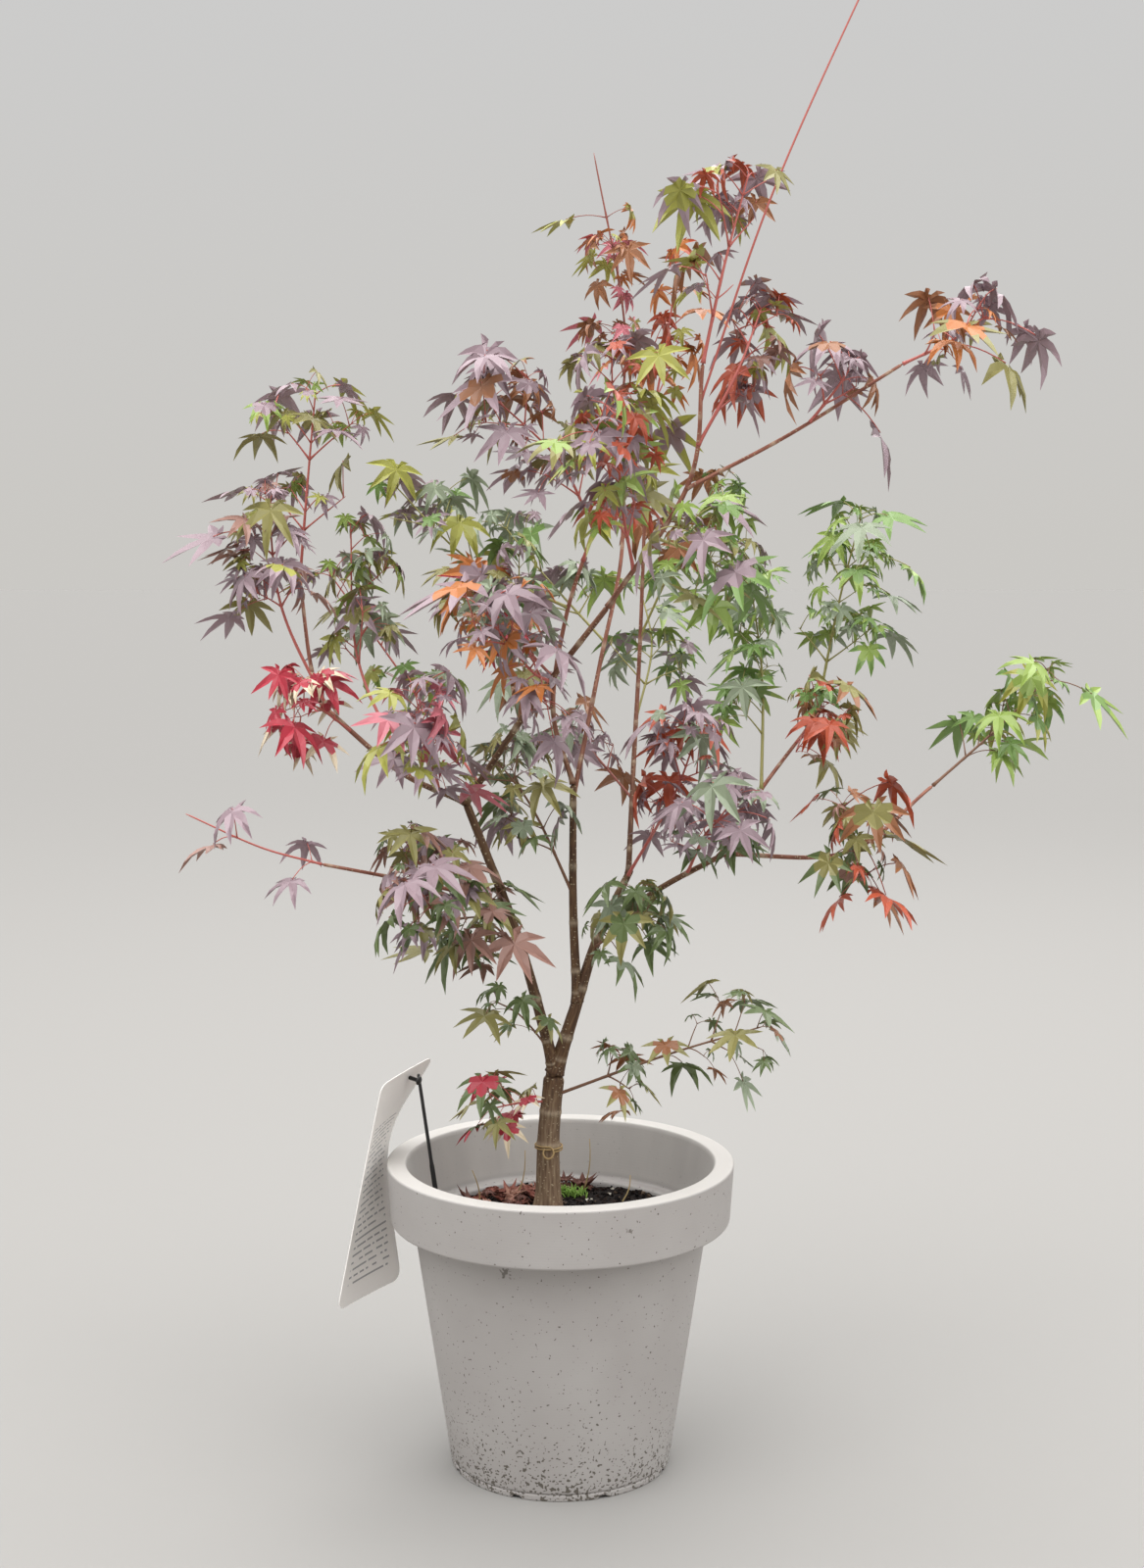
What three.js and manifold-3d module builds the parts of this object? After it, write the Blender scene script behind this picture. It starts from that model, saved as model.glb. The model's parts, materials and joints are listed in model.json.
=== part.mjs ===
// A young garden maple in a round patio pot: a short trunk, forked stems, thin boughs and loose
// sprays of palmate leaves, with a hanging plant label on a stick.
// Millimetres, +Z up. The origin is the centre of the pot's flat underside, +X is to the right and
// +Y to the back of the side that the plant is usually seen from.
import * as THREE from 'three';
import { mergeVertices } from 'three/addons/utils/BufferGeometryUtils.js';
import Module from 'manifold-3d';

const wasm = await Module();
wasm.setup();

const clearance = 0.3; // between pieces that meet
const cornerSpare = 1.1; // keeps the flats of a many-sided tube at the clearance too

// Pot
const potHeight = 267;
const footRadius = 95.3;
const bodyTopRadius = 127.6; // just under the band
const bandHeight = 50.3;
const bandFootRadius = 146.7;
const rimRadius = 150;
const rimInnerRadius = 132.3;
const rimEdge = 3; // chamfer round the rim
const ledgeHeight = 215; // step in the inner wall that the compost reaches up to
const ledgeOuterRadius = 124;
const ledgeInnerRadius = 114;
const wallThickness = 12;
const floorThickness = 12;
const potSides = 36;

// Compost
const soilEdgeHeight = 211;
const soilMiddleHeight = 218;
const soilSides = 24;
const soilTopRadius = 34; // of its level middle
const soilShoulderDrop = 1;
const compostGap = 1.2; // between the compost and the inner wall

// Trunk
const trunkFoot = [-10, 0, soilMiddleHeight + clearance];
const trunkFork = [-5, 0, 343];
const trunkBend = [-10, 0, 285];
const trunkDiameters = [21.5, 17];
const flareDiameter = 31; // across the root flare at the soil
const flareHeight = 11; // over which the flare dies out
const flareLobes = 0.16; // how far its three lobes stand out, as a share of the radius
const flareTurn = 0.6; // radians that the lobes are turned by
const trunkRings = 9;
const trunkSides = 12;
const ringSpacing = 36; // along a bough
const stemSides = 8; // of the limbs thicker than the width below
const boughSides = 6;
const stemWidth = 6;

// Limbs: the limb each grows from and how far along it, the points that it bends through, its tip,
// and its diameters at the two ends.
const limbs = {
  stem_left: { on: 'trunk', at: 1, across: [11, 6.6],
    by: [[-14, -6, 384], [-38, -25, 473]], tip: [-77, -60, 585] },
  stem_right: { on: 'trunk', at: 1, across: [12.5, 6],
    by: [[13, 2, 400], [32, 14, 458]], tip: [62, 44, 515] },
  stem_centre: { on: 'stem_right', at: 0.36, across: [8.4, 5.6],
    by: [[11, 7, 488]], tip: [11, 15, 592] },
  bough_left: { on: 'stem_left', at: 1, across: [5.4, 3.8],
    by: [[-133, -55, 611]], tip: [-199, -40, 666] },
  bough_plume: { on: 'bough_left', at: 1, across: [3.6, 2.8],
    by: [[-209, -22, 705]], tip: [-219, 6, 767] },
  bough_low_left: { on: 'stem_left', at: 0.74, across: [4, 2.6],
    by: [[-112, -75, 520]], tip: [-190, -115, 542] },
  leader_low: { on: 'stem_left', at: 1, across: [5.6, 4.4],
    by: [[-22, -92, 668]], tip: [38, -136, 748] },
  leader_high: { on: 'leader_low', at: 1, across: [4.2, 3],
    by: [[98, -180, 842]], tip: [107, -201, 930] },
  bough_top_right: { on: 'leader_high', at: 0.48, across: [3.2, 2.4],
    by: [[170, -208, 877]], tip: [250, -235, 927] },
  bough_centre: { on: 'stem_centre', at: 1, across: [4.6, 3],
    by: [[-6, 13, 655], [5, 2, 735]], tip: [28, -16, 808] },
  bough_centre_back: { on: 'stem_centre', at: 0.94, across: [4.2, 2.8],
    by: [[34, 58, 690], [54, 92, 790]], tip: [50, 100, 882] },
  bough_back: { on: 'stem_right', at: 0.97, across: [5, 2.8],
    by: [[66, 110, 612], [72, 138, 715]], tip: [77, 124, 885] },
  bough_right: { on: 'stem_right', at: 0.72, across: [5.4, 4.6],
    by: [[88, 9, 504]], tip: [139, -5, 534] },
  bough_far_right: { on: 'bough_right', at: 1, across: [4.2, 2.8],
    by: [[243, -12, 537]], tip: [318, 10, 591] },
  bough_right_up: { on: 'bough_right', at: 0.96, across: [4, 3],
    by: [[176, 60, 582]], tip: [231, 130, 640] },
};

// Masses of foliage: the limb each grows from and how far along it, the point its stem bends
// through, the stem's tip, the pairs of shoots or leaves on it, the span of the stem they stand on
// where the rest is bare, the reach of its side twigs, the length of its leaves, its first seed and
// its leaf colour.
const masses = {
  foliage_plume_top: { on: 'bough_plume', at: 1, by: [-211, 4, 850], tip: [-203, 0, 924],
    pairs: 5, reach: 42, leaf: 44, seed: 11, tint: 'olive' },
  foliage_plume_left: { on: 'bough_left', at: 0.94, by: [-229, -40, 745], tip: [-240, -32, 836],
    pairs: 5, span: [0.5, 0.97], reach: 26, leaf: 42, seed: 12, tint: 'mauve' },
  foliage_plume_right: { on: 'bough_left', at: 0.42, by: [-170, -5, 700], tip: [-178, 26, 812],
    pairs: 5, span: [0.48, 0.97], reach: 40, leaf: 45, seed: 13, tint: 'olive' },
  foliage_plume_back: { on: 'leader_low', at: 0.1, by: [-142, 50, 690], tip: [-205, 92, 772],
    pairs: 3, reach: 44, leaf: 45, seed: 14, tint: 'green' },
  foliage_left_red: { on: 'bough_left', at: 0.8, by: [-196, -72, 664], tip: [-212, -104, 672],
    pairs: 3, reach: 0, leaf: 52, seed: 15, tint: 'crimson' },
  foliage_left_inner: { on: 'bough_left', at: 0.2, by: [-104, -104, 634], tip: [-112, -146, 664],
    pairs: 4, reach: 34, leaf: 52, seed: 16, tint: 'mauve' },
  foliage_low_left: { on: 'bough_low_left', at: 0.3, by: [-96, -98, 528], tip: [-118, -138, 536],
    pairs: 4, reach: 36, leaf: 52, seed: 17, tint: 'mauve' },
  foliage_low_left_tip: { on: 'bough_low_left', at: 1, by: [-237, -130, 558], tip: [-293, -142, 586],
    pairs: 2, span: [0.08, 0.66], reach: 0, leaf: 40, seed: 18, tint: 'mauve' },
  foliage_stem_low: { on: 'stem_left', at: 0.6, by: [-62, -52, 486], tip: [-86, -74, 490],
    pairs: 3, reach: 28, leaf: 50, seed: 19, tint: 'green' },
  foliage_centre_low: { on: 'stem_centre', at: 0.55, by: [-24, -2, 574], tip: [-58, -10, 620],
    pairs: 4, reach: 30, leaf: 46, seed: 20, tint: 'green' },
  foliage_centre_front: { on: 'leader_low', at: 0.62, by: [-24, -130, 700], tip: [-58, -148, 745],
    pairs: 4, reach: 34, leaf: 56, seed: 21, tint: 'mauve' },
  foliage_centre_left: { on: 'bough_centre', at: 0.45, by: [-40, -10, 722], tip: [-76, -22, 770],
    pairs: 4, reach: 36, leaf: 50, seed: 22, tint: 'green' },
  foliage_left_high: { on: 'bough_centre', at: 0.7, by: [-78, 48, 782], tip: [-146, 80, 848],
    pairs: 4, reach: 34, leaf: 46, seed: 23, tint: 'green' },
  foliage_centre_top: { on: 'bough_centre', at: 1, by: [-2, -27, 866], tip: [-66, -32, 926],
    pairs: 4, reach: 38, leaf: 50, seed: 24, tint: 'mauve' },
  foliage_centre_high: { on: 'bough_centre', at: 0.88, by: [42, -40, 850], tip: [42, -62, 950],
    pairs: 5, reach: 42, leaf: 48, seed: 25, tint: 'bronze' },
  foliage_leader: { on: 'leader_high', at: 0.15, by: [48, -158, 830], tip: [44, -176, 896],
    pairs: 4, reach: 40, leaf: 52, seed: 26, tint: 'mauve' },
  foliage_leader_low: { on: 'leader_high', at: 0.28, by: [104, -178, 790], tip: [128, -188, 776],
    pairs: 3, reach: 34, leaf: 48, seed: 27, tint: 'green' },
  foliage_top_low: { on: 'leader_high', at: 0.66, by: [132, -196, 922], tip: [152, -176, 972],
    pairs: 4, reach: 40, leaf: 52, seed: 28, tint: 'bronze' },
  foliage_top: { on: 'leader_high', at: 1, by: [122, -204, 1000], tip: [140, -200, 1068],
    pairs: 5, reach: 42, leaf: 52, seed: 29, tint: 'mauve' },
  foliage_whip: { on: 'leader_high', at: 0.84, by: [158, -222, 1056], tip: [237, -228, 1232],
    pairs: 2, span: [0.5, 0.98], reach: 0, leaf: 36, seed: 30, tint: 'bronze' },
  foliage_top_right: { on: 'bough_top_right', at: 0.6, by: [205, -222, 912], tip: [214, -224, 926],
    pairs: 3, reach: 34, leaf: 54, seed: 31, tint: 'mauve' },
  foliage_top_right_tip: { on: 'bough_top_right', at: 1, by: [282, -241, 942], tip: [308, -244, 960],
    pairs: 4, reach: 26, leaf: 44, seed: 32, tint: 'mauve' },
  foliage_back_top: { on: 'bough_centre_back', at: 1, by: [56, 98, 985], tip: [29, 98, 1132],
    pairs: 4, span: [0.3, 0.82], reach: 38, leaf: 34, seed: 33, tint: 'bronze' },
  foliage_back_top_right: { on: 'bough_back', at: 1, by: [92, 116, 965], tip: [104, 112, 1046],
    pairs: 3, reach: 38, leaf: 42, seed: 34, tint: 'bronze' },
  foliage_back_left: { on: 'bough_centre_back', at: 0.4, by: [-8, 122, 760], tip: [-52, 162, 812],
    pairs: 3, reach: 44, leaf: 48, seed: 35, tint: 'green' },
  foliage_back: { on: 'bough_back', at: 0.42, by: [84, 186, 700], tip: [74, 236, 756],
    pairs: 3, reach: 46, leaf: 48, seed: 37, tint: 'green' },
  foliage_back_low: { on: 'bough_back', at: 0.2, by: [18, 128, 620], tip: [-30, 168, 664],
    pairs: 3, reach: 44, leaf: 48, seed: 38, tint: 'mauve' },
  foliage_back_right: { on: 'bough_back', at: 0.66, by: [112, 138, 800], tip: [140, 142, 846],
    pairs: 3, reach: 38, leaf: 46, seed: 39, tint: 'green' },
  foliage_middle: { on: 'stem_right', at: 0.95, by: [98, 22, 582], tip: [118, 4, 642],
    pairs: 5, reach: 34, leaf: 48, seed: 40, tint: 'mauve' },
  foliage_middle_low: { on: 'stem_right', at: 0.62, by: [56, -26, 478], tip: [72, -48, 492],
    pairs: 3, reach: 32, leaf: 48, seed: 41, tint: 'green' },
  foliage_right: { on: 'bough_right', at: 0.7, by: [122, -36, 556], tip: [140, -62, 578],
    pairs: 4, reach: 36, leaf: 54, seed: 42, tint: 'mauve' },
  foliage_right_fork: { on: 'bough_far_right', at: 0.5, by: [244, -44, 546], tip: [252, -68, 548],
    pairs: 3, reach: 34, leaf: 50, seed: 63, tint: 'green' },
  foliage_far_tip: { on: 'bough_far_right', at: 1, by: [376, 24, 640], tip: [418, 30, 682],
    pairs: 5, reach: 0, leaf: 44, seed: 44, tint: 'fresh' },
  foliage_right_inner: { on: 'bough_right_up', at: 0.5, by: [182, 132, 675], tip: [172, 152, 764],
    pairs: 5, reach: 40, leaf: 46, seed: 45, tint: 'fresh' },
  foliage_right_low: { on: 'bough_right_up', at: 0.82, by: [218, 76, 632], tip: [226, 52, 650],
    pairs: 3, reach: 34, leaf: 48, seed: 46, tint: 'bronze' },
  foliage_right_high: { on: 'bough_right_up', at: 1, by: [252, 150, 740], tip: [272, 150, 822],
    pairs: 5, reach: 42, leaf: 46, seed: 47, tint: 'fresh' },
  foliage_trunk_right: { on: 'trunk', at: 0.82, by: [90, -30, 366], tip: [170, -45, 394],
    pairs: 4, reach: 26, leaf: 40, seed: 48, tint: 'green' },
  foliage_trunk_left: { on: 'trunk', at: 0.78, by: [-33, -12, 320], tip: [-58, -24, 318],
    pairs: 3, reach: 0, leaf: 40, seed: 49, tint: 'olive' },
  foliage_stem_twig: { on: 'stem_left', at: 0.2, by: [-34, -20, 398], tip: [-54, -30, 412],
    pairs: 2, reach: 0, leaf: 36, seed: 50, tint: 'green' },
};

// Twigs and leaves
const pairSpan = [0.24, 0.97]; // shares of a stem where its first and last pairs stand
const twigPairs = [0.58, 0.95]; // and of a side twig
const pairTurn = 90; // degrees between one pair and the next
const pairSway = 18; // degrees that a pair may be off its turn
const stemRadii = [2.4, 1.6];
const stemRingSpacing = 50;
const stemReach = 6; // stretches of a stem that leaves keep clear of
const spaceMarks = 12; // points along a stem that its space is measured from
const twigRadii = [1.1, 0.95];
const twigLean = { out: 0.8, along: 0.5, up: 0.22 }; // parts of the direction that it grows in
const twigLengths = [0.8, 1.25]; // of the mass's reach
const twigClear = 1; // kept round a side twig
const twigFree = 0.3; // share of a side twig, from its foot, that may run close to others
const leafThickness = 0.026; // of the leaf's length, at its middle
const petioleRadius = 0.75;
const petioleRootRadius = 0.42;
const petioleShare = [0.5, 0.85]; // of the leaf's length
const lobeAngles = [100, 43, 0, -43, -100]; // degrees from the leaf's middle line
const lobeLengths = [0.6, 0.9, 1, 0.9, 0.6]; // of the leaf's length
const sinusAngles = [66, 20, -20, -66];
const sinusLengths = [0.26, 0.33, 0.33, 0.26];
const leafCentre = 0.17; // along the leaf, where its lobes meet
const leafDroop = 0.2; // how far a lobe's tip hangs below the middle
const leafLean = { out: 0.8, along: [0.2, 0.6], up: [-0.1, 0.35] };
const leafSizes = [0.78, 1.18]; // of the mass's leaf length
const leafSwing = 50; // degrees round the stem that a leaf may move to find a free place
const leafTurn = 35; // degrees that a leaf is turned off its petiole's direction
const leafDips = [8, 68]; // degrees that a leaf hangs by
const leafRoll = 28;
const steepest = 0.2; // level part of a direction, under which a leaf faces any way
const leafTries = 15;
const leavesPerPair = 2; // the most that a mass has, on average over its stem's pairs
const leafShrink = 0.02; // of its size, at each try for a free place
const stalkFree = 0.2; // share of a petiole, from its foot, that may run close to others
const leafClear = 2.2; // kept round a leaf's lobes
const spaceClear = 1.5; // kept between the spaces of two masses
const limbShare = 0.4; // along a limb, where it has the width that leaves keep clear of
const limbClear = 1.2; // kept round a limb
const lowestLeaf = potHeight + 8;

// Plant label and its stick
const labelThickness = 0.9;
const labelLeft = [[-151, -29, 339], [-166, -29, 267], [-191, -29, 141]]; // its left edge, top to bottom
const labelRight = [[-112, 44, 347], [-152, 44, 267], [-142, 36, 148]];
const labelRows = 6;
const labelColumns = 3;
const labelHole = [-127.5, 15, 334];
const labelHoleRadius = 2.6;
const holeReach = 8; // of the hole's cut on each side of the sheet
const holeSides = 10;
const stickFoot = [-101, 12, 178];
const stickTop = [-123.5, 17, 338];
const stickRadii = [2.3, 1.5];
const knobRadii = [1.8, 4];
const knobLengths = [9, 2.5]; // of the pin through the label and of its head
const knobOverlap = 1; // of the pin into its head
const stickSides = 8;

const up = new THREE.Vector3(0, 0, 1);
const rightward = new THREE.Vector3(1, 0, 0);
const nearlyUpright = 0.9; // cosine to the upright, past which another direction is the reference
const vector = (point) => new THREE.Vector3(...point);
const mix = (pair, share) => pair[0] + (pair[1] - pair[0]) * share;
const radians = THREE.MathUtils.degToRad;

// A curve through the given points, and the direction that it runs in.
function curveThrough(points) {
  return new THREE.CatmullRomCurve3(points, false, 'catmullrom', 0.5);
}

function pointsAlong(curve, steps) {
  return Array.from({ length: steps + 1 }, (_, i) => curve.getPoint(i / steps));
}

// The same fixed numbers for a seed, each time the plant is made.
function drawFrom(seed) {
  const range = 2 ** 32;
  const [spread, factor, step] = [2654435761, 1664525, 1013904223];
  let state = (seed * spread) % range;
  return (low, high) => {
    state = (state * factor + step) % range;
    return low + (high - low) * (state / range);
  };
}

// A direction square to another, turned round it by an angle in degrees.
function squareTo(direction, turn) {
  const reference = Math.abs(direction.z) > nearlyUpright ? rightward : up;
  const side = direction.clone().cross(reference).normalize();
  return side.applyAxisAngle(direction, radians(turn));
}

function toSolid(points, triangles) {
  const vertProperties = new Float32Array(points.flatMap((p) => [p.x, p.y, p.z]));
  const mesh = new wasm.Mesh({ numProp: 3, vertProperties, triVerts: new Uint32Array(triangles) });
  return new wasm.Manifold(mesh);
}

function geometryToSolid(geometry) {
  geometry.deleteAttribute('normal');
  geometry.deleteAttribute('uv');
  const merged = mergeVertices(geometry);
  const vertProperties = new Float32Array(merged.attributes.position.array);
  const triVerts = new Uint32Array(merged.index.array);
  return new wasm.Manifold(new wasm.Mesh({ numProp: 3, vertProperties, triVerts }));
}

function solidToGeometry(solid) {
  const { vertProperties, triVerts } = solid.getMesh();
  const geometry = new THREE.BufferGeometry();
  geometry.setAttribute('position', new THREE.BufferAttribute(new Float32Array(vertProperties), 3));
  geometry.setIndex(new THREE.BufferAttribute(new Uint32Array(triVerts), 1));
  geometry.computeVertexNormals();
  return geometry;
}

// The largest of the bodies that a cut or a join leaves, without loose scraps or sealed hollows.
function mainBody(solid) {
  return solid.decompose().reduce((best, body) => (body.volume() > best.volume() ? body : best));
}

// A closed tube: rings square to a line of centres, each with its own radius, and flat ends. The
// swell is a factor on the radius at a ring and an angle. A steady tube's rings are all square to
// the line from end to end, which keeps its faces flat.
function tube(centres, radii, sides, { swell = () => 1, steady = false } = {}) {
  const points = [];
  const triangles = [];
  const last = centres.length - 1;
  let side = null;
  centres.forEach((centre, ring) => {
    const [from, to] = steady ? [0, last] : [Math.max(ring - 1, 0), Math.min(ring + 1, last)];
    const ahead = centres[to].clone().sub(centres[from]).normalize();
    side = side ? side.addScaledVector(ahead, -side.dot(ahead)).normalize() : squareTo(ahead, 0);
    const over = ahead.clone().cross(side);
    for (let i = 0; i < sides; i += 1) {
      const angle = (2 * Math.PI * i) / sides;
      const radius = radii[ring] * swell(ring, angle);
      points.push(centre.clone().addScaledVector(side, radius * Math.cos(angle))
        .addScaledVector(over, radius * Math.sin(angle)));
      if (ring < last) {
        const here = ring * sides + i;
        const next = ring * sides + ((i + 1) % sides);
        triangles.push(here, next, here + sides, next, next + sides, here + sides);
      }
    }
  });
  for (let i = 1; i < sides - 1; i += 1) {
    triangles.push(0, i + 1, i);
    triangles.push(last * sides, last * sides + i, last * sides + i + 1);
  }
  return toSolid(points, triangles);
}

function lathe(profile, sides) {
  const geometry = new THREE.LatheGeometry(profile.map(([r, z]) => new THREE.Vector2(r, z)), sides);
  geometry.rotateX(Math.PI / 2); // the profile's height runs along +Z
  return geometryToSolid(geometry);
}

function potSolid() {
  const bandFoot = potHeight - bandHeight;
  return lathe([
    [0, 0],
    [footRadius, 0],
    [bodyTopRadius, bandFoot],
    [bandFootRadius, bandFoot],
    [rimRadius, potHeight - rimEdge],
    [rimRadius - rimEdge, potHeight],
    [rimInnerRadius + rimEdge / 2, potHeight],
    [rimInnerRadius, potHeight - rimEdge],
    [ledgeOuterRadius, ledgeHeight],
    [ledgeInnerRadius, ledgeHeight],
    [footRadius - wallThickness, floorThickness],
    [0, floorThickness],
  ], potSides);
}

// The root ball: it fills the pot up to the ledge and rises a little towards the trunk.
function compostSolid() {
  const narrow = Math.cos(Math.PI / soilSides); // flats of the lathe stay inside the wall
  const fit = (radius) => (radius - compostGap) * narrow;
  return lathe([
    [0, floorThickness + clearance],
    [fit(footRadius - wallThickness), floorThickness + clearance],
    [fit(ledgeInnerRadius), soilEdgeHeight],
    [ledgeInnerRadius / 2, soilMiddleHeight - soilShoulderDrop],
    [soilTopRadius, soilMiddleHeight],
    [0, soilMiddleHeight],
  ], soilSides);
}

// Limbs are placed in order, so that each can start on one before it.
function layOutLimbs() {
  const laid = {};
  const lay = (name, points, across) => {
    const curve = curveThrough(points);
    const steps = Math.max(3, Math.round(curve.getLength() / ringSpacing));
    const centres = pointsAlong(curve, steps);
    const radii = centres.map((_, i) => mix(across, i / steps) / 2);
    const sides = across[0] > stemWidth ? stemSides : boughSides;
    laid[name] = { name, curve, across, centres, radii, sides };
  };
  lay('trunk', [trunkFoot, trunkBend, trunkFork].map(vector), trunkDiameters);
  addFlare(laid.trunk);
  Object.entries(limbs).forEach(([name, limb]) => {
    const start = laid[limb.on].curve.getPoint(limb.at);
    lay(name, [start, ...limb.by.map(vector), vector(limb.tip)], limb.across);
  });
  return laid;
}

// The trunk has more rings and sides than a bough, and a lobed flare above its roots.
function addFlare(trunk) {
  trunk.centres = pointsAlong(trunk.curve, trunkRings);
  const flare = trunk.centres.map((c) => Math.exp((trunk.centres[0].z - c.z) / flareHeight));
  const spread = (flareDiameter - trunkDiameters[0]) / 2;
  trunk.radii = flare.map((f, i) => mix(trunkDiameters, i / trunkRings) / 2 + spread * f);
  trunk.swell = (ring, angle) => 1 + flareLobes * flare[ring] * Math.cos(3 * angle + flareTurn);
  trunk.sides = trunkSides;
}

// A limb as a solid, cut by those that it grows from.
function limbSolid({ centres, radii, sides, swell }, cutters) {
  const whole = tube(centres, radii, sides, { swell });
  return mainBody(cutters.reduce((solid, cutter) => solid.subtract(cutter), whole));
}

// A limb thickened by the clearance and a little longer, which cuts what grows from it.
function keepOut({ centres, radii, sides, swell }) {
  const last = centres.length - 1;
  const ahead = centres[last].clone().sub(centres[last - 1]).normalize();
  const longer = [...centres];
  longer[last] = centres[last].clone().addScaledVector(ahead, clearance);
  return tube(longer, radii.map((r) => r + clearance * cornerSpare), sides, { swell });
}

// Distance between two straight stretches, each given by its ends.
function stretchGap(a, b) {
  const u = a.to.clone().sub(a.from);
  const v = b.to.clone().sub(b.from);
  const w = a.from.clone().sub(b.from);
  const uu = u.dot(u);
  const uv = u.dot(v);
  const vv = v.dot(v);
  const clamp = (x) => Math.min(1, Math.max(0, x));
  const spread = uu * vv - uv * uv;
  let s = spread > 1e-9 ? clamp((uv * v.dot(w) - vv * u.dot(w)) / spread) : 0;
  const t = clamp((uv * s + v.dot(w)) / vv);
  s = clamp((uv * t - u.dot(w)) / uu);
  return w.addScaledVector(u, s).addScaledVector(v, -t).length();
}

function stretches(points, radius, of) {
  return points.slice(1).map((to, i) => ({ from: points[i], to, radius, of }));
}

// Where each mass may grow: nearer to its own stem than to any other mass's stem.
function makeSpaces(laid) {
  const stems = Object.entries(masses).map(([name, mass]) => {
    const start = laid[mass.on].curve.getPoint(mass.at);
    const curve = curveThrough([start, vector(mass.by), vector(mass.tip)]);
    return { name, mass, curve, marks: pointsAlong(curve, spaceMarks).slice(1) };
  });
  const nearest = (stem, point) => Math.min(...stem.marks.map((mark) => mark.distanceTo(point)));
  const owns = (stem, point) => {
    const own = nearest(stem, point);
    return stems.every((other) => other === stem || nearest(other, point) > own + 2 * spaceClear);
  };
  return { stems, owns };
}

// A leaf as its lobes' lines from the centre to the tips, and its own axes.
function placeLeaf(node, aim, size, draw) {
  const petiole = aim.clone().multiplyScalar(size * draw(...petioleShare));
  const base = node.clone().add(petiole);
  const flat = new THREE.Vector3(aim.x, aim.y, 0);
  if (flat.length() < steepest) {
    flat.set(draw(-1, 1), draw(-1, 1), 0);
  }
  flat.normalize().applyAxisAngle(up, radians(draw(-leafTurn, leafTurn)));
  const dip = radians(draw(...leafDips));
  const ahead = flat.clone().multiplyScalar(Math.cos(dip)).addScaledVector(up, -Math.sin(dip));
  const face = flat.multiplyScalar(Math.sin(dip)).addScaledVector(up, Math.cos(dip));
  face.applyAxisAngle(ahead, radians(draw(-leafRoll, leafRoll)));
  const across = ahead.clone().cross(face);
  const at = (angle, length) => {
    const x = Math.sin(radians(angle)) * length;
    const y = Math.cos(radians(angle)) * length;
    const reach = Math.hypot(x, y - leafCentre);
    return base.clone().addScaledVector(across, size * x).addScaledVector(ahead, size * y)
      .addScaledVector(face, -size * leafDroop * reach * reach);
  };
  const centre = base.clone().addScaledVector(ahead, leafCentre * size);
  const tips = lobeAngles.map((angle, i) => at(angle, lobeLengths[i]));
  const sinuses = sinusAngles.map((angle, i) => at(angle, sinusLengths[i]));
  return { node, base, centre, ahead, face, across, size, tips, sinuses };
}

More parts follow.
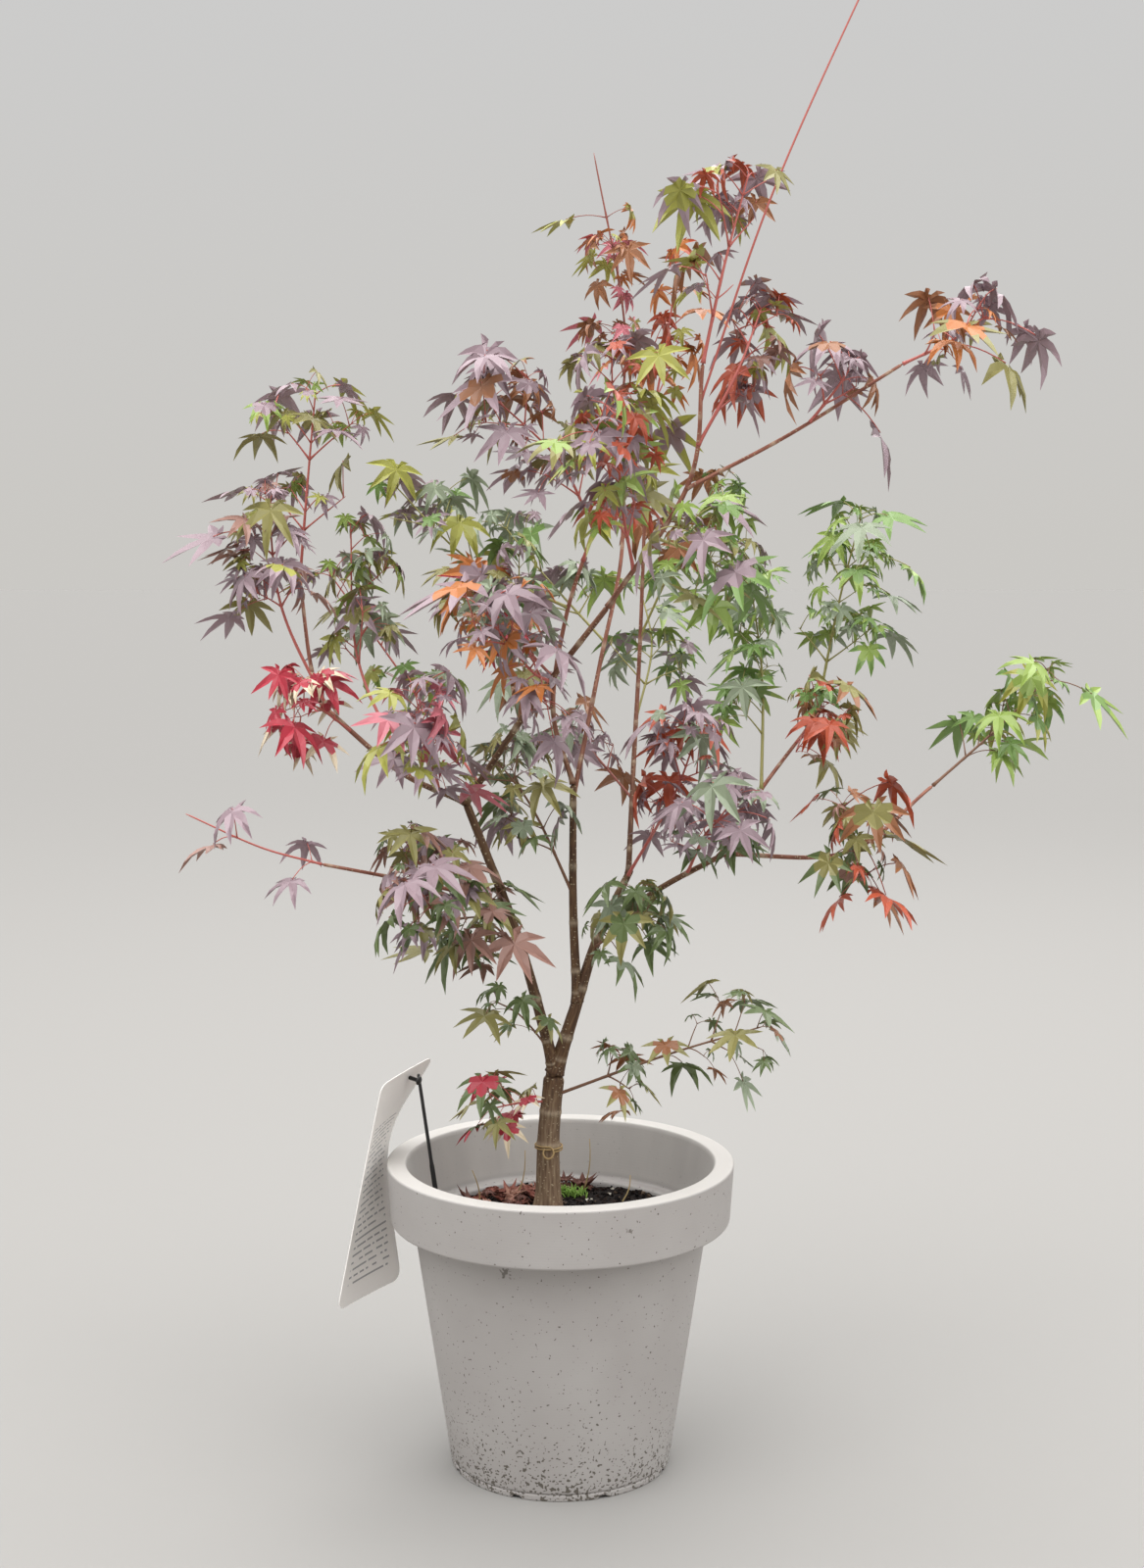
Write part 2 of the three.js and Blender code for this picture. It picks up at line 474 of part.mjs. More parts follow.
// Twigs and leaves of one mass: pairs along the stem, each pair turned a quarter from the last.
// Every other pair is a pair of side twigs that carry leaves, where the mass has a reach.
function growMass(stem, spaces, taken) {
  const { mass, curve, name } = stem;
  const draw = drawFrom(mass.seed);
  const twigs = [];
  const leaves = [];
  const outer = [];
  const inner = []; // places at the middle of side twigs, which come last, after the tips
  const clear = (parts, skip) => parts.every((part) => taken.every((other) => (
    skip(other) || stretchGap(part, other) > part.radius + other.radius
  )));
  const phase = draw(0, 180);
  for (let pair = 0; pair < mass.pairs; pair += 1) {
    const share = mix(mass.span ?? pairSpan, pair / (mass.pairs - 1));
    const node = curve.getPoint(share);
    const along = curve.getTangent(share);
    const turn = phase + pairTurn * pair + draw(-pairSway, pairSway);
    [0, 180].forEach((half) => {
      const out = squareTo(along, turn + half);
      const isTwig = mass.reach > 0 && pair < mass.pairs - 1 && pair % 2 === 0;
      if (!isTwig) {
        outer.push({ node, out, along, root: name });
        return;
      }
      const aim = out.multiplyScalar(twigLean.out).addScaledVector(along, twigLean.along)
        .addScaledVector(up, twigLean.up).normalize();
      const length = mass.reach * draw(...twigLengths);
      const end = node.clone().addScaledVector(aim, length);
      const of = `${name} twig ${twigs.length}`;
      const twig = { from: node, to: end, radius: twigRadii[0] + twigClear, of };
      const far = { ...twig, from: node.clone().lerp(end, twigFree) };
      const free = clear([far], (other) => other.of === name) && spaces.owns(stem, end);
      if (!free) {
        outer.push({ node, out: aim, along, root: name });
        return;
      }
      twigs.push([node, end]);
      taken.push(twig);
      const sideTurn = draw(0, 180);
      twigPairs.forEach((twigShare, step) => {
        [0, 180].forEach((side) => {
          const outward = squareTo(aim, sideTurn + side + pairTurn * step);
          const place = { node: node.clone().lerp(end, twigShare), out: outward, along: aim, root: twig.of };
          (step > 0 ? outer : inner).push(place);
        });
      });
    });
  }
  const limit = Math.round(leavesPerPair * mass.pairs);
  [...outer.reverse(), ...inner].forEach(({ node, out, along, root }) => {
    for (let attempt = 0; attempt < leafTries && leaves.length < limit; attempt += 1) {
      const swing = draw(-leafSwing, leafSwing) * Math.min(1, attempt / 2);
      const aim = out.clone().applyAxisAngle(along, radians(swing)).multiplyScalar(leafLean.out);
      aim.addScaledVector(along, draw(...leafLean.along));
      aim.addScaledVector(up, draw(...leafLean.up)).normalize();
      const size = mass.leaf * draw(...leafSizes) * (1 - leafShrink * attempt);
      const leaf = placeLeaf(node, aim, size, draw);
      const lobes = [...leaf.tips, ...leaf.sinuses].map((to) => (
        { from: leaf.centre, to, radius: leafClear, of: name }
      ));
      const stalkFrom = node.clone().lerp(leaf.base, stalkFree);
      const stalk = { from: stalkFrom, to: leaf.centre, radius: leafClear / 2, of: name };
      const free = clear(lobes, () => false)
        && clear([stalk], (other) => other.of === root)
        && leaf.tips.every((point) => point.z > lowestLeaf && spaces.owns(stem, point))
        && spaces.owns(stem, leaf.base);
      if (free) {
        leaves.push(leaf);
        taken.push(...[...lobes, stalk].map((part) => ({ ...part, of: `${name} leaf` })));
        break;
      }
    }
  });
  return { twigs, leaves };
}

// A closed leaf: two shallow cones over the lobed outline, drawn out into a three-sided petiole.
function leafSolid({ node, base, centre, ahead, face, across, size, tips, sinuses }) {
  const half = (leafThickness * size) / 2;
  const points = [];
  const add = (...list) => points.push(...list) - list.length;
  const top = add(centre.clone().addScaledVector(face, half), centre.clone().addScaledVector(face, -half));
  const bottom = top + 1;
  const rim = add(base.clone().addScaledVector(across, petioleRadius));
  tips.forEach((tip, i) => add(tip, ...(i < sinuses.length ? [sinuses[i]] : [])));
  const rimEnd = add(base.clone().addScaledVector(across, -petioleRadius));
  const below = base.clone().sub(node).cross(across).normalize();
  below.multiplyScalar(below.dot(face) > 0 ? -1 : 1);
  const under = add(base.clone().addScaledVector(below, 1.5 * petioleRadius));
  const rootRight = add(
    node.clone().addScaledVector(across, petioleRootRadius),
    node.clone().addScaledVector(across, -petioleRootRadius),
    node.clone().addScaledVector(below, 1.5 * petioleRootRadius),
  );
  const rootLeft = rootRight + 1;
  const rootUnder = rootRight + 2;
  const triangles = [];
  for (let i = rim; i < rimEnd; i += 1) {
    triangles.push(top, i, i + 1, bottom, i + 1, i);
  }
  triangles.push(top, rimEnd, rim, bottom, under, rimEnd, bottom, rim, under);
  const sides = [
    [rim, rimEnd, rootLeft, rootRight],
    [rimEnd, under, rootUnder, rootLeft],
    [under, rim, rootRight, rootUnder],
  ];
  sides.forEach(([a, b, c, d]) => triangles.push(a, b, c, a, c, d));
  triangles.push(rootRight, rootLeft, rootUnder);
  return toSolid(points, triangles);
}

function massSolid(stem, grown, cutters) {
  const steps = Math.max(3, Math.round(stem.curve.getLength() / stemRingSpacing));
  const line = pointsAlong(stem.curve, steps);
  const radii = line.map((_, i) => mix(stemRadii, i / (line.length - 1)));
  const whole = tube(line, radii, 3, { steady: true });
  const cut = cutters.reduce((solid, cutter) => solid.subtract(cutter), whole);
  const twigs = grown.twigs.map((twig) => tube(twig, twigRadii, 3));
  const pieces = [...twigs, ...grown.leaves.map(leafSolid)];
  return mainBody(pieces.reduce((solid, piece) => solid.add(piece), mainBody(cut)));
}

// A bent sheet of plastic between its left and right edges, with a hole for the stick's pin.
function labelSolid() {
  const left = curveThrough(labelLeft.map(vector));
  const right = curveThrough(labelRight.map(vector));
  const width = labelColumns + 1;
  const front = [];
  for (let row = 0; row <= labelRows; row += 1) {
    for (let column = 0; column <= labelColumns; column += 1) {
      const down = row / labelRows;
      front.push(left.getPoint(down).lerp(right.getPoint(down), column / labelColumns));
    }
  }
  const corner = vector(labelLeft[0]);
  const normal = vector(labelRight[0]).sub(corner).cross(vector(labelLeft[2]).sub(corner));
  normal.normalize().multiplyScalar(labelThickness);
  const back = front.map((point) => point.clone().add(normal));
  const triangles = [];
  const offset = front.length;
  for (let row = 0; row < labelRows; row += 1) {
    for (let column = 0; column < labelColumns; column += 1) {
      const a = row * width + column;
      const [b, c, d] = [a + 1, a + width + 1, a + width];
      triangles.push(a, d, c, a, c, b);
      triangles.push(offset + a, offset + b, offset + c, offset + a, offset + c, offset + d);
    }
  }
  const edge = [];
  for (let column = 0; column < labelColumns; column += 1) edge.push(column);
  for (let row = 0; row < labelRows; row += 1) edge.push(row * width + labelColumns);
  for (let column = labelColumns; column > 0; column -= 1) edge.push(labelRows * width + column);
  for (let row = labelRows; row > 0; row -= 1) edge.push(row * width);
  edge.forEach((here, i) => {
    const next = edge[(i + 1) % edge.length];
    triangles.push(here, next, offset + next, here, offset + next, offset + here);
  });
  const sheet = toSolid([...front, ...back], triangles);
  const pin = normal.clone().normalize();
  const hole = [-1, 1].map((way) => vector(labelHole).addScaledVector(pin, way * holeReach));
  return { sheet: sheet.subtract(tube(hole, [labelHoleRadius, labelHoleRadius], holeSides)), pin };
}

// The stick stands in the compost and holds the label by a pin with a flat head.
function stickSolid(pin) {
  const top = vector(stickTop);
  const rod = tube([vector(stickFoot), top], stickRadii, stickSides);
  const hole = vector(labelHole);
  const inside = hole.clone().addScaledVector(pin, knobLengths[0] / 2);
  const outside = hole.clone().addScaledVector(pin, -knobLengths[0] / 2);
  const head = outside.clone().addScaledVector(pin, -knobLengths[1]);
  const sunk = outside.clone().addScaledVector(pin, -knobOverlap);
  return rod
    .add(tube([inside, sunk], [knobRadii[0], knobRadii[0]], stickSides))
    .add(tube([outside, head], [knobRadii[1], knobRadii[1]], holeSides));
}

const finishes = {
  pot: { color: '#b9b5ad', roughness: 0.7 },
  compost: { color: '#2f2722', roughness: 0.95 },
  bark: { color: '#6d6244', roughness: 0.8 },
  label: { color: '#d9dad6', roughness: 0.5 },
  stick: { color: '#1b1a1a', roughness: 0.45 },
  mauve: { color: '#7a5a60', roughness: 0.6 },
  olive: { color: '#7b7a3a', roughness: 0.6 },
  green: { color: '#5e8a4a', roughness: 0.6 },
  fresh: { color: '#86a83e', roughness: 0.6 },
  bronze: { color: '#a8643a', roughness: 0.6 },
  crimson: { color: '#b5283a', roughness: 0.6 },
};

const plant = new THREE.Group();

function addPiece(name, solid, finish) {
  const material = new THREE.MeshStandardMaterial({ ...finishes[finish], metalness: 0 });
  const mesh = new THREE.Mesh(solidToGeometry(solid), material);
  mesh.name = name;
  plant.add(mesh);
}

const compost = compostSolid();
const { sheet, pin } = labelSolid();
const stick = stickSolid(pin);
addPiece('pot', potSolid(), 'pot');
addPiece('plant_label', sheet, 'label');
addPiece('label_stick', stick, 'stick');

const laid = layOutLimbs();
const cutters = [];
Object.values(laid).forEach((limb) => {
  addPiece(limb.name, limbSolid(limb, cutters), 'bark');
  cutters.push(keepOut(limb));
});
const stickLine = [vector(stickFoot).addScaledVector(up, -clearance), vector(stickTop)];
const stickHole = tube(stickLine, stickRadii.map((r) => r + clearance), stickSides);
addPiece('compost', compost.subtract(stickHole), 'compost');

const spaces = makeSpaces(laid);
const taken = [];
Object.values(laid).forEach((limb) => {
  const radius = mix(limb.across, limbShare) / 2 + limbClear;
  taken.push(...stretches(limb.centres, radius, limb.name));
});
spaces.stems.forEach((stem) => {
  taken.push(...stretches(pointsAlong(stem.curve, stemReach), stemRadii[0], stem.name));
});
spaces.stems.forEach((stem) => {
  const grown = growMass(stem, spaces, taken);
  addPiece(stem.name, massSolid(stem, grown, cutters), stem.mass.tint);
});

export default plant;
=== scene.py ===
# A young garden maple in a round patio pot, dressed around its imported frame.
# The tables and formulas are in millimetres, and each mesh is made in metres. +Z is up, +Y is the back.
import json

import bpy
import numpy as np
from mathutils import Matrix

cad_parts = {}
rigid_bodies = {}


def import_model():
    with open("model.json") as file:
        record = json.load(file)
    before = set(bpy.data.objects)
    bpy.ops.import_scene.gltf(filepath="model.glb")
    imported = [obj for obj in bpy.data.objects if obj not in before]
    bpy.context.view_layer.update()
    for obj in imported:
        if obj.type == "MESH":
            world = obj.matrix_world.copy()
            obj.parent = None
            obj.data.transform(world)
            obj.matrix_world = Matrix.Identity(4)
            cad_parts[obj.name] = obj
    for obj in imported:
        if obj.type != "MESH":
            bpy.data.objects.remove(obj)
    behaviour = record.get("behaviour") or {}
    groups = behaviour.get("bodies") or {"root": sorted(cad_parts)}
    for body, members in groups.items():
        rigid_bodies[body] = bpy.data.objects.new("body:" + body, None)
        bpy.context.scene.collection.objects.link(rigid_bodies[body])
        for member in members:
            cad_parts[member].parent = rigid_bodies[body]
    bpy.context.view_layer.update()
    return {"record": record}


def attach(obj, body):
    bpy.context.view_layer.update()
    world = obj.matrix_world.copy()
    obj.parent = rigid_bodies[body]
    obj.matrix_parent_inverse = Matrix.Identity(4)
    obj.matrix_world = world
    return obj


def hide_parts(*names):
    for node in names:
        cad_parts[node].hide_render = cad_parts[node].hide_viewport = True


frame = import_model()
millimetre = 0.001
up = np.array([0.0, 0.0, 1.0])
rightward = np.array([1.0, 0.0, 0.0])
slotOfNode = {row["node"]: row["material_slot"] for row in frame["record"]["subparts"]}

# Camera, lights and floor
view = {
    "eye": (10.1, -1860.0, 804.6),
    "pitch": 0.113,  # radians below the level
    "lens": 50.64,
    "sensor": 36.0,
}
studio = {
    "sky": [(0.0, "#C6C4C0"), (0.5, "#C6C4C0"), (0.64, "#C8C8C8"), (1.0, "#FFFFFF")],  # nadir to zenith
    "skyStrength": 1.05,
    "floor": "#8F8D8A",
    "floorWidth": 60000.0,
    "lamps": [  # place, aim, width in millimetres and watts
        ((-1500.0, -1900.0, 3200.0), (0.0, 0.0, 650.0), 2400.0, 51.0),
        ((2300.0, -1500.0, 1900.0), (0.0, 0.0, 600.0), 1800.0, 27.0),
        ((600.0, 2500.0, 2800.0), (0.0, 0.0, 700.0), 2200.0, 26.0),
    ],
    "overhead": (3.5, 1.4),  # even light straight down: strength, and its spread in radians
}


def toLinear(hexColour):
    # sRGB hex to linear: each channel to the power 2.4, with a straight foot.
    channels = np.array([int(hexColour[i:i + 2], 16) for i in (1, 3, 5)]) / 255
    linear = np.where(channels <= 0.04045, channels / 12.92, ((channels + 0.055) / 1.055) ** 2.4)
    return (*linear.tolist(), 1.0)


def addNode(tree, kind, inputs=None, stops=None, out=0, **settings):
    # Inputs are values or the outputs of other nodes, stops are a ramp's colours. Gives back one output.
    node = tree.nodes.new("ShaderNode" + kind)
    for name, value in settings.items():
        setattr(node, name, value)
    for name, value in (inputs or {}).items():
        if isinstance(value, bpy.types.NodeSocket):
            tree.links.new(value, node.inputs[name])
        else:
            node.inputs[name].default_value = value
    for i, (place, colour) in enumerate(stops or []):
        element = node.color_ramp.elements[i] if i < 2 else node.color_ramp.elements.new(place)
        element.position = place
        element.color = toLinear(colour)
    return node.outputs[out]


def addMaterial(name, colour, roughness, ior=1.46):
    material = bpy.data.materials.new(name)
    material.use_nodes = True
    shader = material.node_tree.nodes["Principled BSDF"]
    shader.inputs["Base Color"].default_value = toLinear(colour)
    shader.inputs["Roughness"].default_value = roughness
    shader.inputs["IOR"].default_value = ior
    return material


def linkShader(material, **links):
    # Ties outputs to the shader's colour, roughness and normal.
    tree = material.node_tree
    for name, output in links.items():
        socket = {"colour": "Base Color", "roughness": "Roughness", "normal": "Normal"}[name]
        tree.links.new(output, tree.nodes["Principled BSDF"].inputs[socket])
    return material


def addObject(name, data):
    holder = bpy.data.objects.new(name, data)
    bpy.context.scene.collection.objects.link(holder)
    return holder


def addCamera():
    camera = bpy.data.cameras.new("camera")
    camera.lens = view["lens"]
    camera.sensor_width = view["sensor"]
    holder = addObject("camera", camera)
    holder.location = np.array(view["eye"]) * millimetre
    holder.rotation_euler = (np.pi / 2 - view["pitch"], 0, 0)
    bpy.context.scene.camera = holder


def addStudio():
    world = bpy.data.worlds.new("studio")
    world.use_nodes = True
    tree = world.node_tree
    ray = addNode(tree, "TexCoord", out="Generated")
    height = addNode(tree, "SeparateXYZ", {0: ray}, out="Z")
    share = addNode(tree, "MapRange", {"Value": height, "From Min": -1.0, "From Max": 1.0})
    dome = addNode(tree, "ValToRGB", {"Fac": share}, studio["sky"])
    background = tree.nodes["Background"]
    tree.links.new(dome, background.inputs["Color"])
    background.inputs["Strength"].default_value = studio["skyStrength"]
    bpy.context.scene.world = world
    bpy.context.scene.view_settings.view_transform = "Standard"
    for i, (place, aim, width, watts) in enumerate(studio["lamps"]):
        lamp = bpy.data.lights.new(f"softbox{i}", "AREA")
        lamp.size = width * millimetre
        lamp.energy = watts
        holder = addObject(lamp.name, lamp)
        holder.location = np.array(place) * millimetre
        back = unit(np.array(place) - np.array(aim))
        across = unit(np.cross(up, back))
        holder.rotation_euler = matrixAngles(np.array([across, np.cross(back, across), back]).T)
    lamp = bpy.data.lights.new("overhead", "SUN")
    lamp.energy, lamp.angle = studio["overhead"]
    addObject("overhead", lamp)
    half = studio["floorWidth"] * millimetre / 2
    mesh = bpy.data.meshes.new("floor")
    mesh.from_pydata([(-half, -half, 0), (half, -half, 0), (half, half, 0), (-half, half, 0)], [], [(0, 1, 2, 3)])
    mesh.materials.append(addMaterial("matte studio floor", studio["floor"], 0.85))
    addObject("floor", mesh)


def matrixAngles(turn):
    # XYZ angles of a turn given by its three axes as columns.
    return np.arctan2(turn[2, 1], turn[2, 2]), -np.arcsin(turn[2, 0]), np.arctan2(turn[1, 0], turn[0, 0])


# Shapes
def unit(vectors):
    vectors = np.asarray(vectors, float)
    return vectors / np.linalg.norm(vectors, axis=-1, keepdims=True)


def mix(pair, share):
    return pair[0] + (pair[1] - pair[0]) * share


def turned(vector, axis, degrees):
    # v cos t + (k x v) sin t + k (k.v)(1 - cos t), for a unit axis k.
    t = np.radians(degrees)
    return vector * np.cos(t) + np.cross(axis, vector) * np.sin(t) + axis * (axis @ vector) * (1 - np.cos(t))


def squareTo(direction, turn):
    reference = rightward if abs(direction[2]) > 0.9 else up
    return turned(unit(np.cross(direction, reference)), direction, turn)


def curvePoint(points, share):
    # A Catmull-Rom cubic through the points, with the ends carried straight on.
    points = np.asarray(points, float)
    last = len(points) - 1
    padded = np.vstack([2 * points[0] - points[1], points, 2 * points[-1] - points[-2]])
    place = np.clip(share, 0, 1) * last
    segment = np.minimum(np.floor(place).astype(int), last - 1)
    w = np.asarray(place - segment)[..., None]
    p0, p1, p2, p3 = (padded[segment + k] for k in range(4))
    m1 = 0.5 * (p2 - p0)
    m2 = 0.5 * (p3 - p1)
    return p1 + w * (m1 + w * (3 * (p2 - p1) - 2 * m1 - m2 + w * (2 * (p1 - p2) + m1 + m2)))


def curveDirection(points, share):
    step = 0.0001
    return unit(curvePoint(points, min(share + step, 1)) - curvePoint(points, max(share - step, 0)))


def curveLength(points, steps=200):
    line = curvePoint(points, np.linspace(0, 1, steps + 1))
    return np.linalg.norm(np.diff(line, axis=0), axis=1).sum()


def gridFaces(rows, columns, closed):
    # Quads between the rows and columns of a grid of points, whose columns may close on themselves.
    row, column = np.meshgrid(np.arange(rows - 1), np.arange(columns if closed else columns - 1), indexing="ij")
    after = (column + 1) % columns
    quads = [row * columns + column, row * columns + after, (row + 1) * columns + after, (row + 1) * columns + column]
    return np.stack(quads, -1).reshape(-1, 4)


def tubeFaces(rings, sides):
    # Closed rings of quads, then a fan at either end from a pole, whose two points come last.
    here = np.arange(sides)
    after = (here + 1) % sides
    last = (rings - 1) * sides
    pole = np.full(sides, rings * sides)
    return np.vstack([gridFaces(rings, sides, True), np.stack([pole, after, here, here], 1),
                      np.stack([pole + 1, last + here, last + after, last + after], 1)])


def sweepTubes(lines, radii, sides):
    # Ring points are centre + radius (cos a side + sin a over), the side carried along each line.
    # Lines are tubes x rings x 3, radii tubes x rings or tubes x rings x sides. The ends close in a pole.
    lines = np.asarray(lines, float)
    tubes, rings = lines.shape[:2]
    ahead = unit(np.gradient(lines, axis=1))
    reference = np.where(np.abs(ahead[:, :1, 2:]) > 0.9, rightward, up)
    side = unit(np.cross(ahead[:, 0], reference[:, 0]))
    carried = []
    for ring in range(rings):
        side = unit(side - ahead[:, ring] * (side * ahead[:, ring]).sum(1, keepdims=True))
        carried.append(side)
    side = np.stack(carried, 1)[:, :, None]
    over = np.cross(ahead, side[:, :, 0])[:, :, None]
    angle = (2 * np.pi * np.arange(sides) / sides)[None, None, :, None]
    radii = np.asarray(radii, float)
    radii = np.broadcast_to(radii if radii.ndim == 3 else radii[..., None], (tubes, rings, sides))
    points = lines[:, :, None] + radii[..., None] * (np.cos(angle) * side + np.sin(angle) * over)
    points = np.concatenate([points.reshape(tubes, -1, 3), lines[:, :1], lines[:, -1:]], 1)
    faces = tubeFaces(rings, sides)[None] + (np.arange(tubes) * points.shape[1])[:, None, None]
    return points.reshape(-1, 3), faces.reshape(-1, 4)


def archedLines(feet, tips, rings, arch):
    # Straight from each foot to its tip, plus the arch times half a sine wave.
    share = np.linspace(0, 1, rings)[None, :, None]
    return feet[:, None] + (tips - feet)[:, None] * share + np.sin(np.pi * share) * arch


def turnProfile(profile, sides):
    # Points are (r cos a, r sin a, z) for each profile point, whose first and last are poles.
    profile = np.asarray(profile, float)
    angle = 2 * np.pi * np.arange(sides) / sides
    rings = profile[1:-1]
    x = rings[:, :1] * np.cos(angle)
    y = rings[:, :1] * np.sin(angle)
    z = np.broadcast_to(rings[:, 1:], x.shape)
    points = np.vstack([np.stack([x, y, z], -1).reshape(-1, 3), [[0, 0, profile[0, 1]], [0, 0, profile[-1, 1]]]])
    return points, tubeFaces(len(rings), sides)


def roundCorners(corners, steps=6, shoulder=0.5):
    # Each corner (x, z, radius) becomes a quadratic arc between points cut back along its two edges,
    # with one more point a shoulder's length before and after it, which keeps the flats flat.
    corners = np.array(corners, float)
    spots = corners[:, :2]
    profile = [spots[0]]
    for before, corner, after, radius in zip(spots[:-2], spots[1:-1], spots[2:], corners[1:-1, 2]):
        intoward = (before - corner) / np.linalg.norm(before - corner)
        outward = (after - corner) / np.linalg.norm(after - corner)
        back = min(radius, np.linalg.norm(before - corner) / 2 - shoulder / 2)
        on = min(radius, np.linalg.norm(after - corner) / 2 - shoulder / 2)
        if min(back, on) < 0.1:
            profile.append(corner)
            continue
        start = corner + intoward * back
        end = corner + outward * on
        t = np.linspace(0, 1, steps)[:, None]
        arc = (1 - t) ** 2 * start + 2 * t * (1 - t) * corner + t ** 2 * end
        profile += [start + intoward * shoulder * 0.4, *arc, end + outward * shoulder * 0.4]
    return np.array([*profile, spots[-1]])


def smoothNoise(x, y, cell, seed):
    # Random values from -1 to 1 on a square lattice, blended between its corners by 3t2 - 2t3.
    lattice = np.random.default_rng(seed).uniform(-1, 1, (64, 64))
    i = np.floor(x / cell).astype(int)
    j = np.floor(y / cell).astype(int)
    s = x / cell - i
    t = y / cell - j
    s = s * s * (3 - 2 * s)
    t = t * t * (3 - 2 * t)
    near = lattice[i % 64, j % 64] * (1 - s) + lattice[(i + 1) % 64, j % 64] * s
    far = lattice[i % 64, (j + 1) % 64] * (1 - s) + lattice[(i + 1) % 64, (j + 1) % 64] * s
    return near * (1 - t) + far * t


def joinParts(parts):
    # One list of points and one of faces from several, each with its faces moved on.
    offsets = np.cumsum([0] + [len(points) for points, _ in parts[:-1]])
    faces = [part[1] + offset for part, offset in zip(parts, offsets)]
    return np.vstack([part[0] for part in parts]), np.vstack(faces)


def faceList(faces):
    # Quads whose last corner repeats are triangles.
    return [face[:3] if len(face) == 4 and face[2] == face[3] else face for face in faces.tolist()]


def addPiece(name, points, faces, materials, slot, replaced=(), faceMaterials=None, smooth=True, attributes=None):
    mesh = bpy.data.meshes.new(name)
    mesh.from_pydata((points.reshape(-1, 3) * millimetre).tolist(), [], faceList(faces))
    for material in materials:
        mesh.materials.append(material)
    if faceMaterials is not None:
        mesh.polygons.foreach_set("material_index", np.asarray(faceMaterials, np.int32))
    mesh.polygons.foreach_set("use_smooth", np.full(len(mesh.polygons), smooth))
    for key, values in (attributes or {}).items():
        kind, field = ("FLOAT", "value") if values.ndim == 1 else ("FLOAT_VECTOR", "vector")
        attribute = mesh.attributes.new(key, kind, "POINT")
        attribute.data.foreach_set(field, values.astype(np.float32).ravel())
    mesh.update()
    piece = addObject(name, mesh)
    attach(piece, "root")
    if replaced:
        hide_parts(*replaced)
    print(f"{name}: {len(mesh.polygons)} faces")


# Pot
potForm = {
    "height": 267.0,
    "footRadius": 95.3,
    "footHeight": 5.0,
    "bodyTopRadius": 127.6,
    "bandFoot": 216.7,
    "bandFootRadius": 146.7,
    "rimRadius": 150.0,
    "rimInnerRadius": 132.3,
    "ledge": (124.0, 114.0, 215.0),  # outer and inner radius, height
    "floor": (83.3, 12.0),
    "sides": 240,
    "notches": 8,  # short gaps in the foot ring
    "notchWidth": 7.0,
    "notchHeight": 2.6,
}
potFinish = {
    "tones": [(0.3, "#A39E9B"), (0.7, "#ABA7A4")],
    "marks": "#5C564E",  # grains, splashes and scuffs
    "grainScale": 440.0,  # grains of about 1.3 mm
    "grainEdge": (0.742, -0.31),  # of the noise where they begin, and its change down to the foot
    "grainRise": 3.4,  # the power by which they gather there
    "splashScale": 235.0,  # splashes of 2 to 4 mm
    "splashEdge": (0.76, -0.2),
    "splashHeight": 0.06,  # in metres, as the other places are here
    "scuffs": [((0.057, -0.138, 0.248), 0.010), ((-0.044, -0.119, 0.206), 0.016)],  # place, reach
    # painted light: the pale tone painted on the rim's flat top and in streaks on the wall inside it, then the
    # heights where each begins and is full
    "paintedLight": "#BFBBB6",
    "paintedRimTop": (0.2662, 0.2668),
    "paintedWall": (0.2168, 0.222),
    "wallRadius": 0.134,
    "streaks": (0.5, 0.85),  # least and most painted light on the wall
    "lineStep": 0.0025,  # between turning lines
    "roughness": (0.52, 0.7),
}


